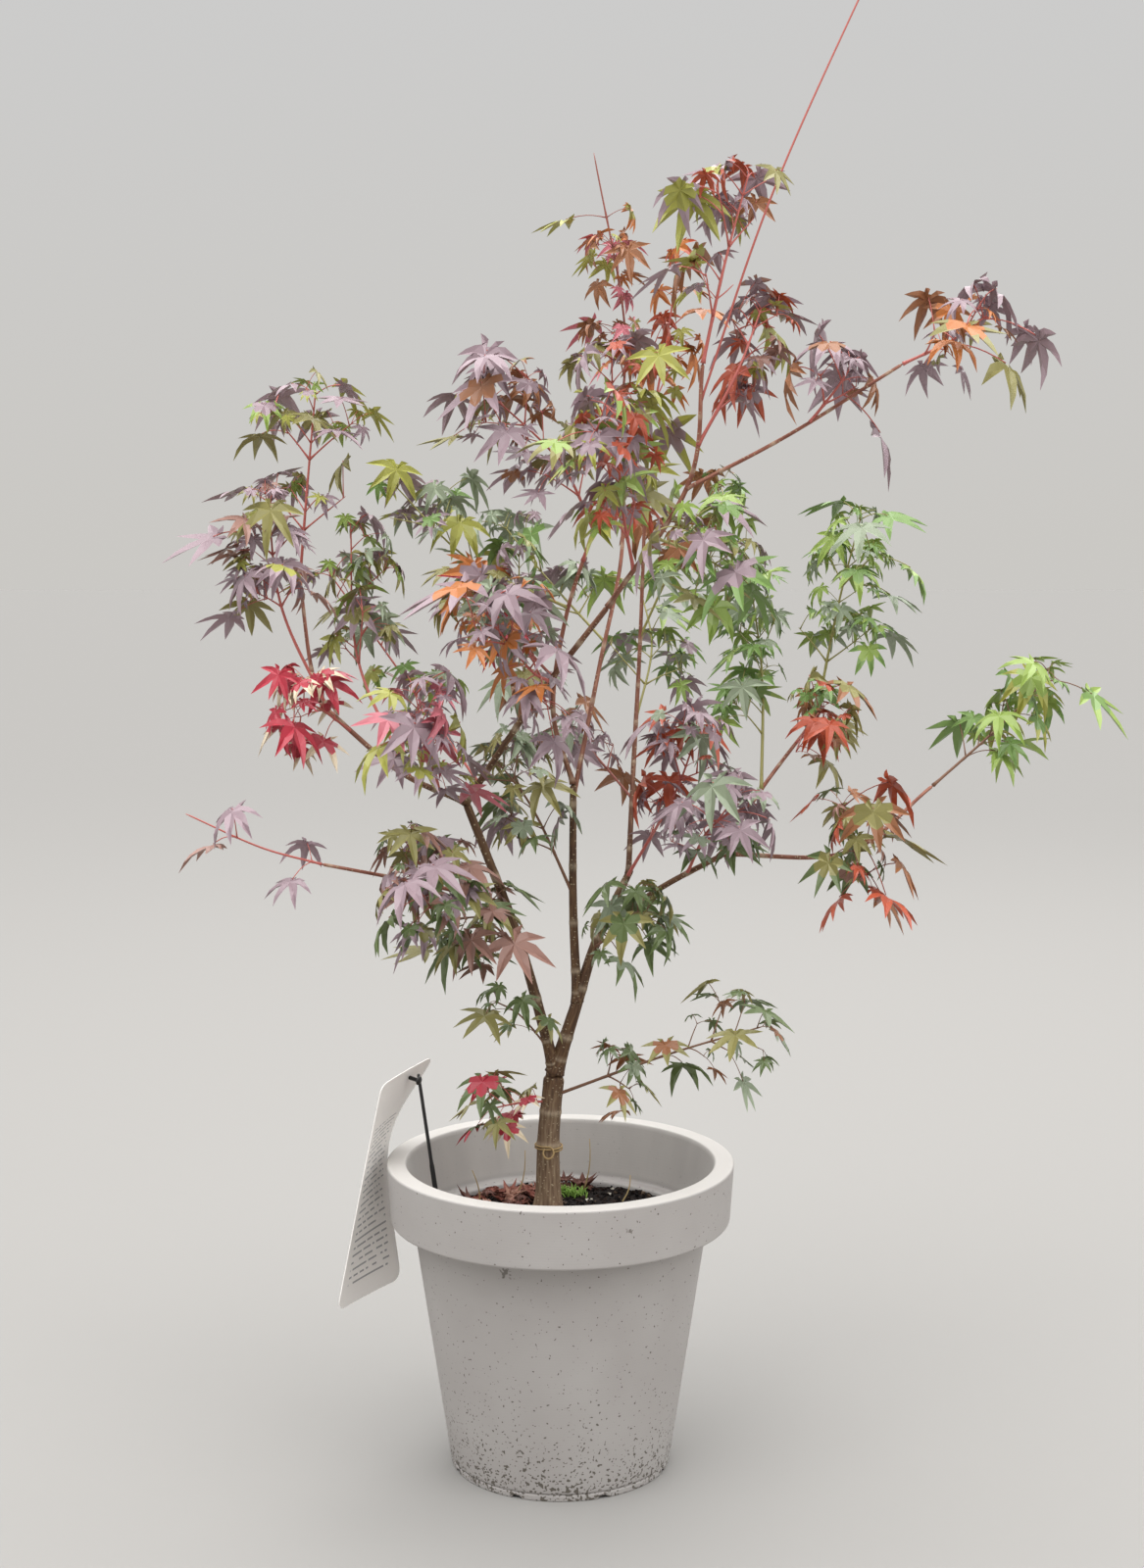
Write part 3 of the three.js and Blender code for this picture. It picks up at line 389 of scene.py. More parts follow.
def potMaterial():
    # Rotation-moulded polyethylene in warm stone grey: matte, with brown grains and chips near the foot.
    f = potFinish
    material = addMaterial("moulded polyethylene, stone grey", "#ABA4A0", 0.6, 1.51)
    tree = material.node_tree
    place = addNode(tree, "TexCoord", out="Object")
    height = addNode(tree, "SeparateXYZ", {0: place}, out="Z")
    clouds = addNode(tree, "TexNoise", {"Vector": place, "Scale": 14.0, "Detail": 4.0})
    tone = addNode(tree, "ValToRGB", {"Fac": clouds}, f["tones"])
    # Grains: more of the noise is over the edge towards the foot
    low = addNode(tree, "MapRange", {"Value": height, "From Min": 0.2, "From Max": 0.0})
    low = addNode(tree, "Math", {0: low, 1: f["grainRise"]}, operation="POWER")
    patches = addNode(tree, "TexNoise", {"Vector": place, "Scale": 45.0, "Detail": 2.0})
    level = addNode(tree, "Math", {0: low, 1: patches}, operation="MULTIPLY")
    edge, change = f["grainEdge"]
    edge = addNode(tree, "Math", {0: level, 1: change, 2: edge}, operation="MULTIPLY_ADD")
    grains = addNode(tree, "TexNoise", {"Vector": place, "Scale": f["grainScale"], "Detail": 0.5})
    # Splashes, the same way, in the lowest part
    foot = addNode(tree, "MapRange", {"Value": height, "From Min": f["splashHeight"], "From Max": 0.0})
    rise, change = f["splashEdge"]
    rise = addNode(tree, "Math", {0: foot, 1: change, 2: rise}, operation="MULTIPLY_ADD")
    chips = addNode(tree, "TexNoise", {"Vector": place, "Scale": f["splashScale"], "Detail": 1.5})
    marks = []
    for noise, threshold, sharpness in [(grains, edge, 30.0), (chips, rise, 24.0)]:
        over = addNode(tree, "Math", {0: noise, 1: threshold}, operation="SUBTRACT")
        marks.append(addNode(tree, "Math", {0: over, 1: sharpness}, operation="MULTIPLY", use_clamp=True))
    # Scuffs on the band and under it, ragged by the grains
    for spot, reach in f["scuffs"]:
        away = addNode(tree, "VectorMath", {0: place, 1: spot}, out="Value", operation="DISTANCE")
        near = addNode(tree, "MapRange", {"Value": away, "From Min": reach, "From Max": 0.0})
        ragged = addNode(tree, "Math", {0: near, 1: grains}, operation="MULTIPLY")
        marks.append(addNode(tree, "MapRange", {"Value": ragged, "From Min": 0.36, "From Max": 0.46, "To Max": 0.8}))
    mark = marks[0]
    for other in marks[1:]:
        mark = addNode(tree, "Math", {0: mark, 1: other}, operation="MAXIMUM")
    worn = addNode(tree, "Mix", {0: mark, 6: tone, 7: toLinear(f["marks"])}, out=2, data_type="RGBA")
    # Painted light: the rim's flat top is painted paler, as a painted highlight where light from above falls, and the
    # wall inside it is painted paler in upright streaks
    top = addNode(tree, "MapRange", {"Value": height, "From Min": f["paintedRimTop"][0], "From Max": f["paintedRimTop"][1]})
    flat = addNode(tree, "VectorMath", {0: place, 1: (1.0, 1.0, 0.0)}, operation="MULTIPLY")
    radius = addNode(tree, "VectorMath", {0: flat}, out="Value", operation="LENGTH")
    within = addNode(tree, "Math", {0: radius, 1: f["wallRadius"]}, operation="LESS_THAN")
    wall = addNode(tree, "MapRange", {"Value": height, "From Min": f["paintedWall"][0],
                                      "From Max": f["paintedWall"][1]})
    upright = addNode(tree, "Mapping", {"Vector": place, "Scale": (1.0, 1.0, 0.16)})
    streakNoise = addNode(tree, "TexNoise", {"Vector": upright, "Scale": 42.0, "Detail": 3.0})
    streak = addNode(tree, "MapRange", {"Value": streakNoise, "From Min": 0.3, "From Max": 0.7,
                                        "To Min": f["streaks"][0], "To Max": f["streaks"][1]})
    wallLight = addNode(tree, "Math", {0: within, 1: wall}, operation="MULTIPLY")
    wallLight = addNode(tree, "Math", {0: wallLight, 1: streak}, operation="MULTIPLY")
    paintedLight = addNode(tree, "Math", {0: top, 1: wallLight}, operation="MAXIMUM")
    colour = addNode(tree, "Mix", {0: paintedLight, 6: worn, 7: toLinear(f["paintedLight"])}, out=2, data_type="RGBA")
    # Turning lines, faint, under a fine skin
    lines = addNode(tree, "Math", {0: height, 1: 2 * np.pi / f["lineStep"]}, operation="MULTIPLY")
    wave = addNode(tree, "Math", {0: lines}, operation="SINE")
    skin = addNode(tree, "TexNoise", {"Vector": place, "Scale": 700.0, "Detail": 2.0})
    relief = addNode(tree, "Math", {0: wave, 1: 0.25, 2: skin}, operation="MULTIPLY_ADD")
    normal = addNode(tree, "Bump", {"Height": relief, "Strength": 0.12, "Distance": 0.0003})
    roughness = addNode(tree, "MapRange", {"Value": clouds, "To Min": f["roughness"][0], "To Max": f["roughness"][1]})
    return linkShader(material, colour=colour, roughness=roughness, normal=normal)


def makePot():
    p = potForm
    foot, height, bandFoot = p["footRadius"], p["height"], p["bandFoot"]
    ledgeOut, ledgeIn, ledgeZ = p["ledge"]
    corners = [  # radius, height and rounding
        (0, 2.2, 0),
        (foot - 11, 2.2, 1.5),
        (foot - 9, 0, 0.8),
        (foot, 0, 1.2),
        (foot + 0.4, p["footHeight"], 0.8),
        (foot - 0.6, p["footHeight"] + 0.8, 0.6),
        (foot + 1.1, p["footHeight"] + 2.4, 1.5),
        (p["bodyTopRadius"] - 0.4, bandFoot - 3, 2.0),
        (p["bodyTopRadius"] + 1.5, bandFoot, 2.0),
        (p["bandFootRadius"] - 1.2, bandFoot, 0.5),
        (p["bandFootRadius"], bandFoot + 1.4, 1.2),
        (p["rimRadius"], height - 1.2, 0.9),
        (p["rimRadius"] - 1.2, height, 0.9),
        (p["rimInnerRadius"] + 1.4, height, 1.2),
        (p["rimInnerRadius"], height - 2.6, 1.8),
        (ledgeOut, ledgeZ, 3.0),
        (ledgeIn, ledgeZ, 3.0),
        (ledgeIn - 1.8, ledgeZ - 10, 4.0),
        (*p["floor"], 8.0),
        (0, p["floor"][1], 0),
    ]
    points, faces = turnProfile(roundCorners(corners), p["sides"])
    # The foot ring is lifted by a smooth step within each notch
    turn = np.arctan2(points[:, 1], points[:, 0]) * p["notches"] / (2 * np.pi) + 0.5
    away = np.abs(turn - np.round(turn)) * 2 * np.pi / p["notches"] * foot
    inside = np.clip((p["notchWidth"] / 2 - away) / 1.5 + 0.5, 0, 1)
    isFoot = (points[:, 2] < 1.6) & (np.hypot(points[:, 0], points[:, 1]) > foot - 12)
    points[:, 2] += np.where(isFoot, inside * p["notchHeight"], 0)
    addPiece("potBody", points, faces, [potMaterial()], "pot", ["pot"])


# Compost and what lies on it
soilForm = {
    "edge": 211.0,
    "middle": 217.2,
    "radius": 113.2,
    "relief": [(26.0, 1.6), (9.0, 1.3), (3.5, 0.8)],  # cell and height of each layer
    "tones": [(0.3, "#0F0C0B"), (0.6, "#1D1715"), (0.78, "#332924")],
    "crumbs": 2600,
    "crumbSize": (0.9, 3.4),
    "crumbKinds": [  # name, colour, roughness, IOR, share
        ("peat crumb", "#14100F", 0.95, 1.25, 0.5),
        ("bark chip", "#281E1A", 0.9, 1.25, 0.34),
        ("dry wood fibre", "#544335", 0.85, 1.46, 0.13),
        ("perlite grain", "#C9C3B6", 0.8, 1.46, 0.03),
    ],
}
litterForm = {
    "moss": 90,
    "mossPlace": (12.0, 66.0),
    "mossSpread": (7.0, 5.0),
    "mossLengths": (4, 9),
    "mossColour": "#6E8F38",
    "stalks": [  # foot x, y, then tip x, y and height above the compost
        (-72, 40, -78, 36, 34), (-40, 62, -32, 70, 40), (20, 84, 26, 92, 46),
        (52, 40, 62, 52, 22), (-30, -48, -36, -60, 18), (58, -20, 66, -24, 14),
    ],
    "stalkColour": "#A08A5E",
    "fallen": 40,
    "fallenSizes": (15, 26),
    "fallenHeights": (3.0, 8.0),  # of a leaf's foot above the compost
    "fallenPlaces": [((-92, -12), (18, 84)), ((-10, 22), (88, 100))],  # x and y of most, and of every fifth
    "fallenReach": 98.0,
    "fallenFold": 0.14,
    "fallenNotch": 0.62,
    "fallenKinds": [("brown", "#5E3A30", 0.4), ("russet", "#7C473A", 0.35), ("tan", "#9C7464", 0.25)],
}


def soilHeight(x, y):
    # A low dome plus three layers of smooth noise.
    radius = np.hypot(x, y) / soilForm["radius"]
    height = soilForm["edge"] + (soilForm["middle"] - soilForm["edge"]) * (1 - np.clip(radius, 0, 1) ** 2)
    for layer, (cell, depth) in enumerate(soilForm["relief"]):
        height = height + depth * smoothNoise(x, y, cell, 20 + layer)
    return height


def compostMaterial():
    # Potting compost of peat and bark fines: dark, damp in places, with paler fibres.
    material = addMaterial("potting compost, damp peat and bark", "#1D1715", 0.95, 1.25)
    tree = material.node_tree
    place = addNode(tree, "TexCoord", out="Object")
    grain = addNode(tree, "TexNoise", {"Vector": place, "Scale": 260.0, "Detail": 4.0})
    colour = addNode(tree, "ValToRGB", {"Fac": grain}, soilForm["tones"])
    normal = addNode(tree, "Bump", {"Height": grain, "Strength": 0.6, "Distance": 0.0015})
    return linkShader(material, colour=colour, normal=normal)


def makeCompost():
    s = soilForm
    radii = np.linspace(s["radius"], 1.2, 70)
    profile = [(0, 12.6), (81.5, 12.6), (s["radius"] - 1.2, 205.0), *[(r, s["edge"]) for r in radii], (0, s["edge"])]
    points, faces = turnProfile(profile, 168)
    isTop = points[:, 2] > 206
    points[isTop, 2] = soilHeight(points[isTop, 0], points[isTop, 1])
    addPiece("compostBed", points, faces, [compostMaterial()], "compost", ["compost"])


def makeCrumbs():
    # Each crumb is an octahedron with three unequal half-lengths and jittered corners.
    s = soilForm
    rng = np.random.default_rng(7)
    count = s["crumbs"]
    radius = s["radius"] * np.sqrt(rng.uniform(0.01, 0.985, count))
    angle = rng.uniform(0, 2 * np.pi, count)
    x = radius * np.cos(angle)
    y = radius * np.sin(angle)
    size = s["crumbSize"][0] + (s["crumbSize"][1] - s["crumbSize"][0]) * rng.uniform(0, 1, count) ** 2
    half = size[:, None] * rng.uniform(0.35, 1.0, (count, 3))
    axes = np.linalg.qr(rng.normal(size=(count, 3, 3)))[0]
    corners = np.array([[1, 0, 0], [-1, 0, 0], [0, 1, 0], [0, -1, 0], [0, 0, 1], [0, 0, -1]], float)
    shape = corners[None] * half[:, None] * rng.uniform(0.75, 1.25, (count, 6, 1))
    centre = np.stack([x, y, soilHeight(x, y) + 0.25 * size], 1)
    points = centre[:, None] + np.einsum("nck,nkj->ncj", shape, axes)
    handed = np.linalg.det(axes) > 0
    faces = np.array([[4, 0, 2], [4, 2, 1], [4, 1, 3], [4, 3, 0], [5, 2, 0], [5, 1, 2], [5, 3, 1], [5, 0, 3]])
    faces = np.where(handed[:, None, None], faces[None], faces[None, :, ::-1])
    faces = faces + (np.arange(count) * 6)[:, None, None]
    kinds = rng.choice(len(s["crumbKinds"]), count, p=[kind[-1] for kind in s["crumbKinds"]])
    materials = [addMaterial(*kind[:-1]) for kind in s["crumbKinds"]]
    addPiece("compostCrumbs", points, faces.reshape(-1, 3), materials, "compost",
             faceMaterials=np.repeat(kinds, 8), smooth=False)


def makeMossAndStalks():
    # A tuft of moss beside the trunk, as thin bent cones, and a few dry stalks.
    f = litterForm
    rng = np.random.default_rng(9)
    count = f["moss"]
    spot = np.array(f["mossPlace"]) + rng.normal(0, 1, (count, 2)) * f["mossSpread"]
    lean = rng.normal(0, 0.35, (count, 2))
    length = rng.uniform(*f["mossLengths"], count)
    share = np.linspace(0, 1, 4)
    lines = np.zeros((count, 4, 3))
    lines[..., :2] = spot[:, None] + lean[:, None] * (length[:, None] * share[None] ** 2)[..., None]
    lines[..., 2] = soilHeight(spot[:, 0], spot[:, 1])[:, None] - 0.6 + length[:, None] * share
    points, faces = sweepTubes(lines, np.broadcast_to([0.7, 0.9, 0.6, 0.15], (count, 4)), 5)
    addPiece("mossTuft", points, faces, [addMaterial("fresh moss", f["mossColour"], 0.7)], "foliage_fresh")
    stalks = np.array(f["stalks"], float)
    ground = soilHeight(stalks[:, 0], stalks[:, 1])
    feet = np.column_stack([stalks[:, :2], ground - 2])
    tips = np.column_stack([stalks[:, 2:4], ground + stalks[:, 4]])
    lines = archedLines(feet, tips, 6, np.array([3.0, -2.0, 0.0]))
    points, faces = sweepTubes(lines, np.broadcast_to(np.linspace(0.8, 0.4, 6), (len(stalks), 6)), 6)
    addPiece("dryStalks", points, faces, [addMaterial("dry grass stalk", f["stalkColour"], 0.75)], "compost")


# Label and stick
labelForm = {
    "left": [[-151, -29, 339], [-166, -29, 267], [-191, -29, 141]],
    "right": [[-112, 44, 347], [-152, 44, 267], [-142, 36, 148]],
    "thickness": 0.9,
    "corner": 9.0,
    "bulge": 1.2,
    "width": 82.0,
    "length": 206.0,
    "hole": [-127.5, 15, 334],
    "stickFoot": [-101, 12, 178],
    "stickTop": [-123.5, 17, 338],
    "rod": [(0, 2.3), (0.2, 2.3), (0.47, 2.15), (0.49, 2.1), (0.51, 1.7), (0.53, 1.6), (0.7, 1.55), (0.9, 1.5),
            (0.985, 1.5), (0.997, 1.2), (1.0, 0.6)],  # share of its length, radius
    "pin": [(4.5, 1.4), (4.1, 1.8), (-4.5, 1.8), (-4.6, 3.4), (-5.0, 4.0), (-6.1, 3.8), (-6.8, 3.0), (-7.0, 1.6)],
    "stickColour": "#1B1A1B",
}
labelFinish = {
    "sheet": "#FBF7F3",
    "ink": "#86868A",
    "inkDepth": 0.8,
    "rowStep": 5.0,
    "rowShare": 0.27,  # of a row that is ink
    "wordLength": 3.2,
    "gapShare": 0.3,  # of the words that stay bare
    "margins": (9.0, 70.0),
    "printed": (62.0, 192.0),  # from the top edge, under a bare panel
}


def labelMaterial():
    # Printed polypropylene sheet: satin white, with rows of plain grey bars for print.
    f = labelFinish
    material = addMaterial("printed polypropylene sheet, white", f["sheet"], 0.42, 1.49)
    tree = material.node_tree
    sheet = addNode(tree, "Attribute", out="Vector", attribute_name="sheetPlace")
    x, y = addNode(tree, "SeparateXYZ", {0: sheet}).node.outputs[:2]
    rows = addNode(tree, "Math", {0: y, 1: f["rowStep"]}, operation="DIVIDE")
    phase = addNode(tree, "Math", {0: rows}, operation="FRACT")
    number = addNode(tree, "Math", {0: rows}, operation="FLOOR")
    # Each stretch of a row takes a random value, and low ones stay bare
    stretch = addNode(tree, "CombineXYZ", {"X": x, "Y": number})
    stretch = addNode(tree, "VectorMath", {0: stretch, 1: (f["wordLength"], 1.0, 1.0)}, operation="SNAP")
    word = addNode(tree, "TexWhiteNoise", {"Vector": stretch})
    mask = f["inkDepth"]
    for value, test, limit in [
        (phase, "LESS_THAN", f["rowShare"]), (word, "GREATER_THAN", f["gapShare"]),
        (x, "GREATER_THAN", f["margins"][0]), (x, "LESS_THAN", f["margins"][1]),
        (y, "GREATER_THAN", f["printed"][0]), (y, "LESS_THAN", f["printed"][1]),
    ]:
        passed = addNode(tree, "Math", {0: value, 1: limit}, operation=test)
        mask = addNode(tree, "Math", {0: passed, 1: mask}, operation="MULTIPLY")
    colour = addNode(tree, "Mix", {0: mask, 6: toLinear(f["sheet"]), 7: toLinear(f["ink"])}, out=2,
                     data_type="RGBA")
    return linkShader(material, colour=colour)


def makeLabel():
    # Point = left edge(v) + u (right edge(v) - left edge(v)), u and v drawn in by arcs at the corners.
    f = labelForm
    v = 0.5 - 0.5 * np.cos(np.linspace(0, np.pi, 44))
    u = 0.5 - 0.5 * np.cos(np.linspace(0, np.pi, 22))
    near = np.minimum(v, 1 - v) * f["length"]
    arc = np.sqrt(np.clip(f["corner"] ** 2 - (f["corner"] - near) ** 2, 0, None))
    inset = np.where(near < f["corner"], f["corner"] - arc, 0)[:, None] / f["width"]
    across = inset + u[None] * (1 - 2 * inset)
    left = curvePoint(f["left"], v)[:, None]
    right = curvePoint(f["right"], v)[:, None]
    corner = np.array(f["left"][0], float)
    normal = unit(np.cross(np.array(f["right"][0]) - corner, np.array(f["left"][2]) - corner))
    front = left + across[..., None] * (right - left) + f["bulge"] * np.sin(np.pi * across)[..., None] * normal
    back = front + f["thickness"] * normal
    rows, columns = across.shape
    count = rows * columns
    sheet = gridFaces(rows, columns, False)
    row = np.arange(rows)
    column = np.arange(columns)
    rim = np.concatenate([column[:-1], row[:-1] * columns + columns - 1,
                          (rows - 1) * columns + column[:0:-1], row[:0:-1] * columns])
    after = np.roll(rim, -1)
    faces = np.vstack([sheet[:, ::-1], sheet + count, np.stack([rim, after, after + count, rim + count], 1)])
    place = np.stack([across * f["width"], np.broadcast_to((v * f["length"])[:, None], across.shape),
                      np.zeros_like(across)], -1).reshape(-1, 3)
    points = np.concatenate([front.reshape(-1, 3), back.reshape(-1, 3)])
    addPiece("plantLabel", points, faces, [labelMaterial()], "label", ["plant_label"],
             attributes={"sheetPlace": np.concatenate([place, place])})
    return normal


def makeStick(normal):
    # The rod steps down to a thinner top half, and a pin with a rounded head goes through the label.
    f = labelForm
    material = addMaterial("injection-moulded nylon, black", f["stickColour"], 0.38, 1.53)
    tree = material.node_tree
    place = addNode(tree, "TexCoord", out="Object")
    grain = addNode(tree, "TexNoise", {"Vector": place, "Scale": 600.0})
    linkShader(material, roughness=addNode(tree, "MapRange", {"Value": grain, "To Min": 0.3, "To Max": 0.5}))
    foot, top, hole = (np.array(f[key], float) for key in ("stickFoot", "stickTop", "hole"))
    share, radii = np.array(f["rod"]).T
    rod = sweepTubes([foot + share[:, None] * (top - foot)], [radii], 20)
    depth, radii = np.array(f["pin"]).T
    pin = sweepTubes([hole + depth[:, None] * normal], [radii], 24)
    addPiece("labelStick", *joinParts([rod, pin]), [material], "label_stick", ["label_stick"])


# Limbs: start limb and share along it, bends, tip, diameters at both ends
trunkForm = {
    "line": [[-10, 0, 218.3], [-10, 0, 285], [-5, 0, 343]],
    "across": (21.5, 17.0),
    "flareAcross": 31.0,
    "flareHeight": 11.0,
    "flareLobes": 0.16,
    "flareTurn": 0.6,
    "rings": 9,
}
limbRows = {
    "stem_left": ("trunk", 1, [[-14, -6, 384], [-38, -25, 473]], [-77, -60, 585], (11, 6.6)),
    "stem_right": ("trunk", 1, [[13, 2, 400], [32, 14, 458]], [62, 44, 515], (12.5, 6)),
    "stem_centre": ("stem_right", 0.36, [[11, 7, 488]], [11, 15, 592], (8.4, 5.6)),
    "bough_left": ("stem_left", 1, [[-133, -55, 611]], [-199, -40, 666], (5.4, 3.8)),
    "bough_plume": ("bough_left", 1, [[-209, -22, 705]], [-219, 6, 767], (3.6, 2.8)),
    "bough_low_left": ("stem_left", 0.74, [[-112, -75, 520]], [-190, -115, 542], (4, 2.6)),
    "leader_low": ("stem_left", 1, [[-22, -92, 668]], [38, -136, 748], (5.6, 4.4)),
    "leader_high": ("leader_low", 1, [[98, -180, 842]], [107, -201, 930], (4.2, 3)),
    "bough_top_right": ("leader_high", 0.48, [[170, -208, 877]], [250, -235, 927], (3.2, 2.4)),
    "bough_centre": ("stem_centre", 1, [[-6, 13, 655], [5, 2, 735]], [28, -16, 808], (4.6, 3)),
    "bough_centre_back": ("stem_centre", 0.94, [[34, 58, 690], [54, 92, 790]], [50, 100, 882], (4.2, 2.8)),
    "bough_back": ("stem_right", 0.97, [[66, 110, 612], [72, 138, 715]], [77, 124, 885], (5, 2.8)),
    "bough_right": ("stem_right", 0.72, [[88, 9, 504]], [139, -5, 534], (5.4, 4.6)),
    "bough_far_right": ("bough_right", 1, [[243, -12, 537]], [318, 10, 591], (4.2, 2.8)),
    "bough_right_up": ("bough_right", 0.96, [[176, 60, 582]], [231, 130, 640], (4, 3)),
}
# Masses: start limb and share along it, bend, tip, pairs, reach of side twigs, leaf length, seed
massRows = {
    "plume_top": ("bough_plume", 1, [-211, 4, 850], [-203, 0, 924], 5, 42, 44, 11),
    "plume_left": ("bough_left", 0.94, [-229, -40, 745], [-240, -32, 836], 5, 26, 42, 12),
    "plume_right": ("bough_left", 0.42, [-170, -5, 700], [-178, 26, 812], 5, 40, 45, 13),
    "plume_back": ("leader_low", 0.1, [-142, 50, 690], [-205, 92, 772], 3, 44, 45, 14),
    "left_red": ("bough_left", 0.8, [-196, -72, 664], [-212, -104, 672], 3, 0, 52, 15),
    "left_inner": ("bough_left", 0.2, [-104, -104, 634], [-112, -146, 664], 4, 34, 52, 16),
    "low_left": ("bough_low_left", 0.3, [-96, -98, 528], [-118, -138, 536], 4, 36, 52, 17),
    "low_left_tip": ("bough_low_left", 1, [-237, -130, 558], [-293, -142, 586], 2, 0, 40, 18),
    "stem_low": ("stem_left", 0.6, [-62, -52, 486], [-86, -74, 490], 3, 28, 50, 19),
    "centre_low": ("stem_centre", 0.55, [-24, -2, 574], [-58, -10, 620], 4, 30, 46, 20),
    "centre_front": ("leader_low", 0.62, [-24, -130, 700], [-58, -148, 745], 4, 34, 56, 21),
    "centre_left": ("bough_centre", 0.45, [-40, -10, 722], [-76, -22, 770], 4, 36, 50, 22),
    "left_high": ("bough_centre", 0.7, [-78, 48, 782], [-146, 80, 848], 4, 34, 46, 23),
    "centre_top": ("bough_centre", 1, [-2, -27, 866], [-66, -32, 926], 4, 38, 50, 24),
    "centre_high": ("bough_centre", 0.88, [42, -40, 850], [42, -62, 950], 5, 42, 48, 25),
    "leader": ("leader_high", 0.15, [48, -158, 830], [44, -176, 896], 4, 40, 52, 26),
    "leader_low": ("leader_high", 0.28, [104, -178, 790], [128, -188, 776], 3, 34, 48, 27),
    "top_low": ("leader_high", 0.66, [132, -196, 922], [152, -176, 972], 4, 40, 52, 28),
    "top": ("leader_high", 1, [122, -204, 1000], [140, -200, 1068], 5, 42, 52, 29),
    "whip": ("leader_high", 0.84, [158, -222, 1056], [237, -228, 1232], 2, 0, 36, 30),
    "top_right": ("bough_top_right", 0.6, [205, -222, 912], [214, -224, 926], 3, 34, 54, 31),
    "top_right_tip": ("bough_top_right", 1, [282, -241, 942], [308, -244, 960], 4, 26, 44, 32),
    "back_top": ("bough_centre_back", 1, [56, 98, 985], [29, 98, 1132], 4, 38, 34, 33),
    "back_top_right": ("bough_back", 1, [92, 116, 965], [104, 112, 1046], 3, 38, 42, 34),
    "back_left": ("bough_centre_back", 0.4, [-8, 122, 760], [-52, 162, 812], 3, 44, 48, 35),
    "back": ("bough_back", 0.42, [84, 186, 700], [74, 236, 756], 3, 46, 48, 37),
    "back_low": ("bough_back", 0.2, [18, 128, 620], [-30, 168, 664], 3, 44, 48, 38),
    "back_right": ("bough_back", 0.66, [112, 138, 800], [140, 142, 846], 3, 38, 46, 39),
    "middle": ("stem_right", 0.95, [98, 22, 582], [118, 4, 642], 5, 34, 48, 40),
    "middle_low": ("stem_right", 0.62, [56, -26, 478], [72, -48, 492], 3, 32, 48, 41),
    "right": ("bough_right", 0.7, [122, -36, 556], [140, -62, 578], 4, 36, 54, 42),
    "right_fork": ("bough_far_right", 0.5, [244, -44, 546], [252, -68, 548], 3, 34, 50, 63),
    "far_tip": ("bough_far_right", 1, [376, 24, 640], [418, 30, 682], 5, 0, 44, 44),
    "right_inner": ("bough_right_up", 0.5, [182, 132, 675], [172, 152, 764], 5, 40, 46, 45),
    "right_low": ("bough_right_up", 0.82, [218, 76, 632], [226, 52, 650], 3, 34, 48, 46),
    "right_high": ("bough_right_up", 1, [252, 150, 740], [272, 150, 822], 5, 42, 46, 47),
    "trunk_right": ("trunk", 0.82, [90, -30, 366], [170, -45, 394], 4, 26, 40, 48),
    "trunk_left": ("trunk", 0.78, [-33, -12, 320], [-58, -24, 318], 3, 0, 40, 49),
    "stem_twig": ("stem_left", 0.2, [-34, -20, 398], [-54, -30, 412], 2, 0, 36, 50),
}
bareShoots = {  # the span of the stem that bears leaves, where the rest is bare
    "plume_left": (0.5, 0.97),
    "plume_right": (0.48, 0.97),
    "low_left_tip": (0.08, 0.66),
    "whip": (0.5, 0.98),
    "back_top": (0.3, 0.82),
}


def layOutLimbs():
    limbs = {"trunk": {"line": np.array(trunkForm["line"], float), "across": trunkForm["across"]}}
    for name, (start, share, bends, tip, across) in limbRows.items():
        first = curvePoint(limbs[start]["line"], share)
        limbs[name] = {"line": np.array([first, *bends, tip], float), "across": across}
    for name, limb in limbs.items():
        limb["length"] = curveLength(limb["line"])
        steps = trunkForm["rings"] if name == "trunk" else max(3, int(limb["length"] / 36 + 0.5))
        limb["centres"] = curvePoint(limb["line"], np.linspace(0, 1, steps + 1))
    return limbs


barkForm = {
    "tones": [  # dark, middle and light: of the trunk, of the stems and of the thin boughs
        ("#5E4938", "#7E6650", "#99866B"),
        ("#3D291B", "#593F2A", "#745A3D"),
        ("#6A3F33", "#8B5646", "#A87664"),
    ],
    "lenticels": "#AE9E80",
    "scars": "#BFAF96",
    "ringStep": 2.4,
    "trunkRingStep": 1.3,
    "collar": 0.42,  # how far a limb's foot swells where it leaves another
    "collarReach": 2.2,  # in radii of the foot
    "nodeSpacing": 47.0,
    "trunkNodes": (58.0, 88.0),
    "nodeSwell": 0.1,
    "trunkNodeSwell": 0.07,
    "nodeWidth": 2.4,
    "footScar": (2.4, 1.6, 0.8),  # place in radii of the foot, width, strength
    "forkReach": 26.0,
    "forkSpread": 0.1,
    "trunkTurns": (45.0, 5.0),  # from trunk bark to stem bark, measured down from the fork
    "youngAcross": (5.2, 3.4),  # diameters from stem bark to young bark
    "ridges": [(3, 0.02, 0.03), (5, 0.01, 0.06), (8, 0.006, 0.15), (13, 0.003, 0.4)],  # around, share, per mm
}


